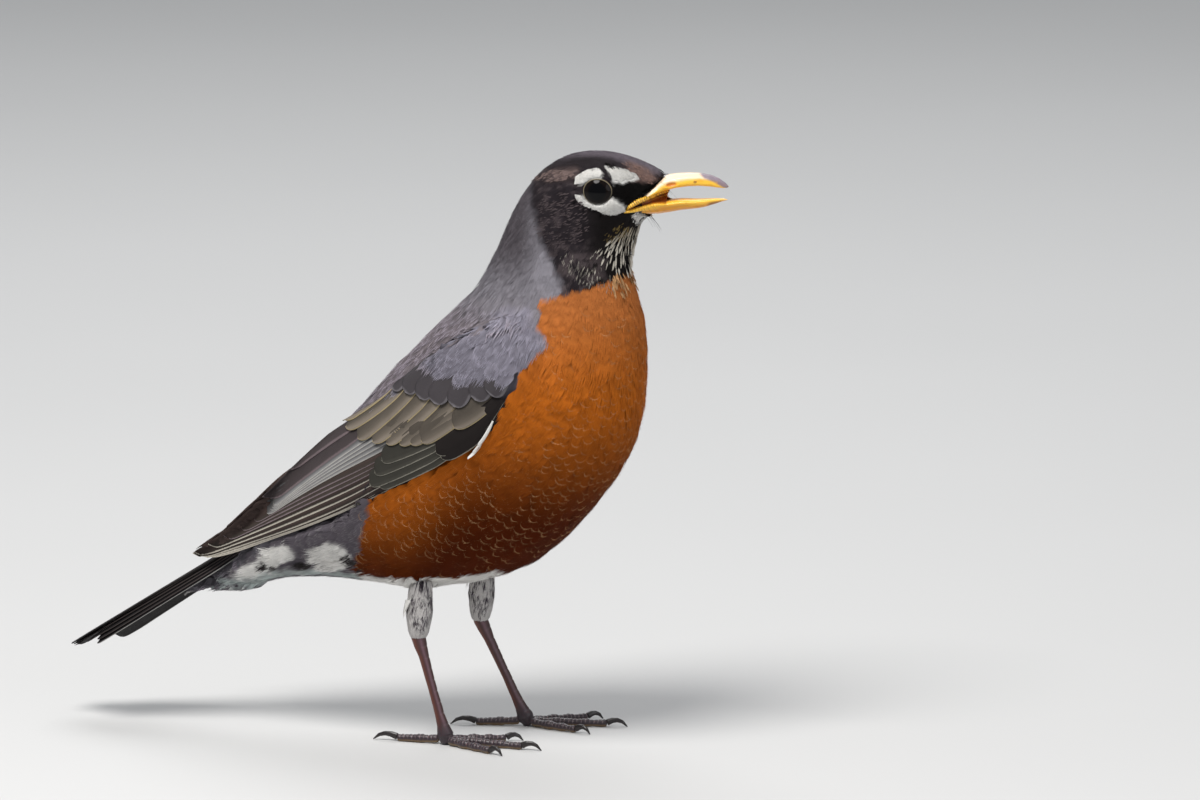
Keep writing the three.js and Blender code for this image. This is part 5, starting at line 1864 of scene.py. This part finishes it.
def upper_bill(points, normals):
    x, y, z = points.T
    share, _ = height_share(points)
    from_tip = BILL_HIGH[0] - x
    pit = in_ellipse(x, z, *NOSTRIL_PLACE)
    beside = np.abs(y) > 1.0
    inward = smoothstep(1.05, 0.5, pit) * beside
    brim = bell(pit, 1.35, 0.3) * beside
    points = points + normals * (0.09 * brim - 0.4 * inward)[:, None]
    pale_from = np.interp(from_tip, [0, 10, 20, 24], [0.75, 0.62, 0.45, 0.2])
    violet_from = np.interp(from_tip, [0, 1.2, 4, 7, 10], [-0.4, 0.1, 0.5, 0.68, 1.2])
    spot = in_ellipse(x, z, *BROWN_SPOT)
    return points, layered(
        np.tile(BILL_YELLOW, (len(x), 1)),
        (CULMEN, smoothstep(-0.16, 0.16, share - pale_from) * smoothstep(28, 24, from_tip)),
        (BILL_TIP, 0.92 * smoothstep(-0.12, 0.14, share - violet_from)),
        (BILL_ORANGE, 0.65 * smoothstep(0.2, 0.0, share) * smoothstep(2, 6, from_tip)),
        (BILL_ORANGE, 0.35 * speckle(points, 71) * (share < pale_from)),
        # the nostril's pit, painted darker orange as its shade
        (NOSTRIL_SHADE_ORANGE, np.clip(inward * 1.3, 0, 1)),
        (HORN_BROWN, 0.8 * smoothstep(1.3, 0.8, spot)),
    )


def lower_bill(points, normals):
    """The lower half is made slimmer from below and let down towards its tip."""
    _, top = height_share(points)
    points[:, 2] = top - (top - points[:, 2]) * 0.82
    from_tip = LOWER_BILL_HIGH[0] - points[:, 0]
    points[:, 2] -= 0.5 * smoothstep(1, 11, from_tip)
    share, _ = height_share(points)
    groove = bell(share, 0.42, 0.12) * smoothstep(8, 14, from_tip) * (np.abs(normals[:, 1]) > 0.4)
    points = points - normals * (0.14 * groove)[:, None]
    middle = bell(from_tip, 18, 4) * smoothstep(0.9, 0.6, share)
    horny = in_ellipse(from_tip, share, (4.2, 0.15), (1.9, 0.4), 0)
    return points, layered(
        np.tile(BILL_ORANGE, (len(points), 1)),
        (BILL_YELLOW, smoothstep(0.1, 0.7, share)),
        (BILL_ORANGE * 0.8, 0.6 * groove),
        (BILL_ORANGE, 0.6 * middle),
        (CULMEN, 0.4 * smoothstep(3.5, 0, from_tip)),
        (BILL_ORANGE * 0.7, 0.4 * speckle(points, 73)),
        (HORN_BROWN, 0.75 * smoothstep(1.4, 0.6, horny)),
    )


for name, shaped in (("bill_upper", upper_bill), ("bill_lower", lower_bill)):
    points, quads, normals = solid_shell([name], grow=0.02, voxel=0.24, rounds=3)
    points, colour = shaped(points, normals)
    tinted_piece(f"{name}_horn", points, quads, colour, HORN, [name])

# The soft yellow corner of the mouth: two ridged lips with the mouth's lining between them, as
# places from the eye at the corner and then forward.
corner_tree = tree_of(*node_arrays(["head", "bill_upper", "bill_lower"]))
LIP_STEPS, LIP_TURNS, LINING = 70, 9, 8
LIP_SHARE = np.linspace(0, 1, LIP_STEPS)
LIP_THICKNESS = np.interp(LIP_SHARE, [0, 0.12, 0.4, 0.8, 1], [0.22, 0.42, 0.72, 0.6, 0.35])
LINING_DEPTH = np.interp(LIP_SHARE, [0, 0.2, 1], [0.05, 0.5, 2.4])


def lip_line(knots, side):
    """Places along a lip, on the face and then on the bill."""
    line = smooth_line(np.column_stack([knots, np.zeros(len(knots))]), LIP_STEPS)[0][:, :2]
    reach = smoothed(on_side(line[:, 0], line[:, 1], side, corner_tree)[:, 1], 30)
    return np.column_stack([EYE_X + line[:, 0], reach, EYE_Z + line[:, 1]])


def lip(line, side, out, ridge, upper):
    """Half round rows along a lip's line with their colours, from its upper side down."""
    strong = 1.0 if upper else 0.35
    normal = np.cross(unit(np.gradient(line, axis=0)), [0, -side, 0]) * side
    normal = unit(normal * np.sign(normal[:, 2:3]))
    bump = LIP_THICKNESS * (1 + 0.08 * strong * ridge)
    tone = np.tile(BILL_YELLOW, (LIP_STEPS, 1))
    tone = blend(tone, GAPE_BROWN, strong * 0.75 * smoothstep(0.1, -0.7, ridge))
    rows, tints = [], []
    for angle in np.linspace(0, math.pi, LIP_TURNS):
        rise = math.sin(angle) * bump * 0.9 - 0.15
        rows.append(line + normal * (math.cos(angle) * bump)[:, None] + out * rise[:, None])
        inward = smoothstep(0.5, 1.0, -math.cos(angle)) if upper else smoothstep(0.6, 1.0, math.cos(angle))
        tints.append(blend(tone, BILL_ORANGE * 0.55, np.full(LIP_STEPS, inward) * 0.8))
    return rows, tints


def mouth_lining(first, last, out):
    """Rows of the sunk lining between the two lips with their colours."""
    rows, tints = [], []
    for v in np.linspace(0, 1, LINING + 2)[1:-1]:
        rows.append(first * (1 - v) + last * v + out * (-LINING_DEPTH * math.sin(math.pi * v))[:, None])
        tone = blend(MOUTH, BILL_ORANGE, 0.5 * bell(v, 0.35, 0.12))
        tints.append(np.tile(tone, (LIP_STEPS, 1)))
    return rows, tints


def closed_band(front, back):
    """A closed slab between two grids of points: points and triangles."""
    steps, wide = front.shape[:2]
    faces = [grid_faces(steps, wide * 2, True)]
    for row in (0, steps - 1):
        base = row * wide * 2
        for j in range(wide - 1):
            a, b, c, d = base + j, base + j + 1, base + 2 * wide - 2 - j, base + 2 * wide - 1 - j
            faces.append(np.array([(a, b, c), (a, c, d)]))
    return np.concatenate([front, back[:, ::-1]], axis=1), np.concatenate(faces)


def gape(side_name, side):
    out = unit(np.array([0.25, side, 0.0]))
    upper, lower = lip_line(UPPER_LIP, side), lip_line(LOWER_LIP, side)
    length = line_lengths(upper)
    ridge = np.sin(length * math.tau / 0.7) * smoothstep(0, 2, length)
    upper_rows, upper_tints = lip(upper, side, out, ridge, True)
    lower_rows, lower_tints = lip(lower, side, out, ridge, False)
    inner_rows, inner_tints = mouth_lining(upper_rows[-1], lower_rows[0], out)
    front = np.stack(upper_rows + inner_rows + lower_rows, axis=1)
    points, faces = closed_band(front, front - out * 0.6)
    tint = np.stack(upper_tints + inner_tints + lower_tints, axis=1)
    tint = np.concatenate([tint, tint[:, ::-1]], axis=1).reshape(-1, 3)
    tinted_piece(f"gape_{side_name}", points.reshape(-1, 3), faces, tint, HORN)


for side_name, side in SIDES:
    gape(side_name, side)

# Bristles: place from the eye of the first and the last of a row, way, number and length.
BRISTLES = (
    ((9.5, -2.6), (15.0, 0.6), (0.85, 0.14, -0.5), 8, 7.0),
    ((11.5, -8.6), (13.5, -9.2), (0.78, 0.1, -0.62), 3, 4.2),
    ((15.0, 3.0), (17.0, 4.5), (0.95, 0.25, -0.05), 3, 4.0),
)
BRISTLE_SHARE = np.linspace(0, 1, 8)
BRISTLE_RADII = np.interp(BRISTLE_SHARE, [0, 1], [0.045, 0.015])


def bristle(root, way, size):
    """A thin curved bristle: points and triangles."""
    heading = unit(np.array(way) + rng.normal(0, 0.1, 3))
    t = BRISTLE_SHARE[:, None]
    path = root + heading * size * rng.uniform(0.7, 1.1) * t + np.array([0, 0, -1.4]) * t**2
    return tube(path, BRISTLE_RADII, 5)


bristles = []
for side_name, side in SIDES:
    for first, last, way, number, size in BRISTLES:
        row = np.linspace(first, last, number) + rng.normal(0, 0.2, (number, 2))
        for root in on_side(row[:, 0], row[:, 1], side):
            bristles.append(bristle(root, np.array(way) * [1, side, 1], size))
n = Nodes("bristle", 0.5, specular=0.4)
bristle_horn = n.finish(n.mix(n.noise(3000.0), BRISTLE_DARK, BRISTLE_PALE))
piece("bristles", new_mesh("bristles", *joined(bristles)), bristle_horn)


# ---------------------------------------------------------------- legs, toes and claws

TARSUS_FRONT = srgb(64, 34, 32)
TARSUS_REAR = srgb(92, 40, 24)
# Painted mauve highlight of the tarsus:
TARSUS_PAINTED_HIGHLIGHT = srgb(128, 98, 112)
TOE = srgb(50, 38, 44)
TOE_PALE = srgb(150, 130, 134)
PAD = srgb(150, 122, 84)
CLAW = srgb(34, 28, 28)
TOES = ("back", "inner", "middle", "outer")
TOE_SCALE, TARSUS_SCALE, TOE_PAD = 1.25, 3.4, 4.6  # lengths of one scale and of one pad
SCALES = horn_material("leg_scales", roughness=0.42, grain=900.0, bump=0.35, coat=0.1)
CLAW_HORN = horn_material("claw", roughness=0.3, grain=1500.0, bump=0.2, coat=0.2)


def leg_limbs(side_name):
    """Lines and radii of the tarsus, downward, and of the toes, outward, with their longer ends."""
    line, radius = limb(f"tarsus_{side_name}")
    if line[0, 2] < line[-1, 2]:
        line, radius = line[::-1], radius[::-1]
    ankle = line[-1]
    waist = 1 - 0.14 * np.sin(np.linspace(0, math.pi, len(radius)))
    limbs = [(line, radius * waist, 0.8, 0.2)]
    for toe in TOES:
        line, radius = limb(f"toe_{toe}_{side_name}")
        if np.linalg.norm(line[0] - ankle) > np.linalg.norm(line[-1] - ankle):
            line, radius = line[::-1], radius[::-1]
        length_at = np.linspace(0, np.linalg.norm(line[-1] - line[0]), len(radius))
        limbs.append((line, radius * (1 + 0.10 * np.cos(length_at * math.tau / TOE_PAD)), 1.6, 0.9))
    return limbs


def nearest_limb(points, limbs):
    """Number of the limb that each point is on and its place along it."""
    gap, number, length_at = np.full(len(points), 1e9), np.zeros(len(points), int), np.zeros(len(points))
    for k, (line, radius, _, _) in enumerate(limbs):
        axis = unit(line[-1] - line[0])
        along = (points - line[0]) @ axis
        foot = line[0] + axis * np.clip(along, 0, np.linalg.norm(line[-1] - line[0]))[:, None]
        here = np.linalg.norm(points - foot, axis=1) - radius.mean()
        closer = here < gap
        gap = np.where(closer, here, gap)
        length_at = np.where(closer, along, length_at)
        number = np.where(closer, k, number)
    return number, length_at


def leg(side_name):
    """Scaled tarsus and toes of one leg as one surface, with seams, scutes, pads and a painted highlight down
    the tarsus.
    """
    limbs = leg_limbs(side_name)
    tubes = joined([limb_tube(*part) for part in limbs])
    points, quads, normals = remeshed(*tubes, voxel=0.28, rounds=3)
    number, length_at = nearest_limb(points, limbs)
    toe = number > 0
    facing, aside, upward = normals.T
    phase = np.abs((length_at / np.where(toe, TOE_SCALE, TARSUS_SCALE)) % 1 - 0.5) * 2
    seam = smoothstep(0.72, 0.95, phase)
    scaled = np.where(toe, smoothstep(-0.1, 0.5, upward), smoothstep(0.1, 0.6, facing) * 0.6)
    under = toe * smoothstep(-0.1, -0.6, upward)
    pads = lattice_noise(points, 0.9, 61)
    height = -0.14 * seam * scaled + 0.08 * (1 - phase) * scaled * toe + 0.08 * pads * under
    points = points + normals * height[:, None]
    points[:, 2] = np.maximum(points[:, 2], 0.0)
    # A painted mauve highlight along the front sides of the tarsus.
    painted_highlight = bell(facing, 0.45, 0.22) * (np.abs(aside) > 0.3)
    colour = np.tile(TARSUS_FRONT, (len(points), 1))
    colour = layered(colour, (TARSUS_REAR, smoothstep(0.1, -0.5, facing)), (TARSUS_PAINTED_HIGHLIGHT, 0.45 * painted_highlight))
    colour = layered(
        np.where(toe[:, None], TOE, colour),
        (TOE, smoothstep(9, 3, points[:, 2]) * ~toe),
        (TOE_PALE, 0.5 * seam * scaled * (0.3 + 0.7 * toe)),
        (PAD, 0.6 * under),
    )
    replaced = [f"tarsus_{side_name}"] + [f"toe_{toe}_{side_name}" for toe in TOES]
    tinted_piece(f"leg_{side_name}", points, quads, colour, SCALES, replaced)


def claws(side_name):
    replaced = [f"claw_{toe}_{side_name}" for toe in TOES]
    points, quads, normals = solid_shell(replaced, grow=0.12, voxel=0.16, rounds=8)
    points[:, 2] = np.maximum(points[:, 2], 0.0)
    tint = blend(np.tile(CLAW, (len(points), 1)), CLAW * 2.2, smoothstep(-0.2, -0.9, normals[:, 2]))
    tinted_piece(f"claws_{side_name}", points, quads, tint, CLAW_HORN, replaced)


for side_name, _ in SIDES:
    leg(side_name)
    claws(side_name)


# ---------------------------------------------------------------- stage, light and camera

AZIMUTH, ELEVATION = 15, 10  # degrees in front of square to the bird's right side, and above level
CAMERA_DISTANCE = 4.0
FRAME_WIDTH = 0.354  # what the camera sees at the bird
AIM_RIGHT, AIM_UP = 0.0598, 0.011  # aim from the middle of the bird's box
SENSOR = 36.0
SKY, SKY_STRENGTH = (0.80, 0.83, 0.86, 1), 0.42
FLOOR_HALF = 4000
MIDDLE = (Vector(CAD_BOX[0]) + Vector(CAD_BOX[1])) / 2


def way_to(azimuth, elevation):
    """Direction from the bird to a place this many degrees round it and above it."""
    turn, rise = math.radians(azimuth), math.radians(elevation)
    return Vector((math.sin(turn) * math.cos(rise), -math.cos(turn) * math.cos(rise), math.sin(rise)))


def add_object(name, data, target, way, distance):
    """A camera or light at a distance from its target, looking at it."""
    obj = bpy.data.objects.new(name, data)
    obj.location = target + way * distance
    obj.rotation_euler = way.to_track_quat("Z", "Y").to_euler()
    bpy.context.scene.collection.objects.link(obj)
    return obj


def photo_camera():
    """The photo's view: its lens fits the frame's width at the bird's distance."""
    to_camera = way_to(AZIMUTH, ELEVATION)
    right = Vector((math.cos(math.radians(AZIMUTH)), math.sin(math.radians(AZIMUTH)), 0))
    aim = MIDDLE + right * AIM_RIGHT + to_camera.cross(right) * AIM_UP
    data = bpy.data.cameras.new("camera")
    data.sensor_width = SENSOR
    data.lens = SENSOR * CAMERA_DISTANCE / FRAME_WIDTH
    return add_object("camera", data, aim, to_camera, CAMERA_DISTANCE)


def area_light(name, azimuth, elevation, distance, size, power, colour):
    """Soft round light aimed at the bird."""
    data = bpy.data.lights.new(name, "AREA")
    data.shape = "DISK"
    data.size = size
    data.energy = power
    data.color = colour
    add_object(name, data, MIDDLE, way_to(azimuth, elevation), distance)


def studio_world():
    world = bpy.data.worlds.new("studio")
    world.use_nodes = True
    background = world.node_tree.nodes["Background"]
    background.inputs[0].default_value = SKY
    background.inputs[1].default_value = SKY_STRENGTH
    return world


def floor_material():
    n = Nodes("floor", 0.9, specular=0.2)
    n.bump(n.noise(400.0, 2.0), 0.05, 0.0005)
    return n.finish(n.grey(n.math("MULTIPLY_ADD", n.noise(3.0, 2.0), 0.04, 0.58)))


def studio_floor():
    corners = [(x * FLOOR_HALF, y * FLOOR_HALF, 0) for x, y in ((-1, -1), (1, -1), (1, 1), (-1, 1))]
    mesh = new_mesh("floor", corners, [(0, 1, 2, 3)], smooth=False)
    mesh.materials.append(floor_material())
    floor = bpy.data.objects.new("floor", mesh)
    bpy.context.scene.collection.objects.link(floor)
    return floor


bpy.context.scene.camera = photo_camera()
area_light("key", -15, 60, distance=1.2, size=0.6, power=15, colour=(1.0, 0.98, 0.95))
area_light("fill", 70, 20, distance=1.5, size=1.0, power=3.5, colour=(0.95, 0.97, 1.0))
area_light("back", 195, 50, distance=1.4, size=1.0, power=8, colour=(1.0, 1.0, 1.0))
bpy.context.scene.world = studio_world()
bpy.context.scene.view_settings.view_transform = "Standard"
studio_floor()
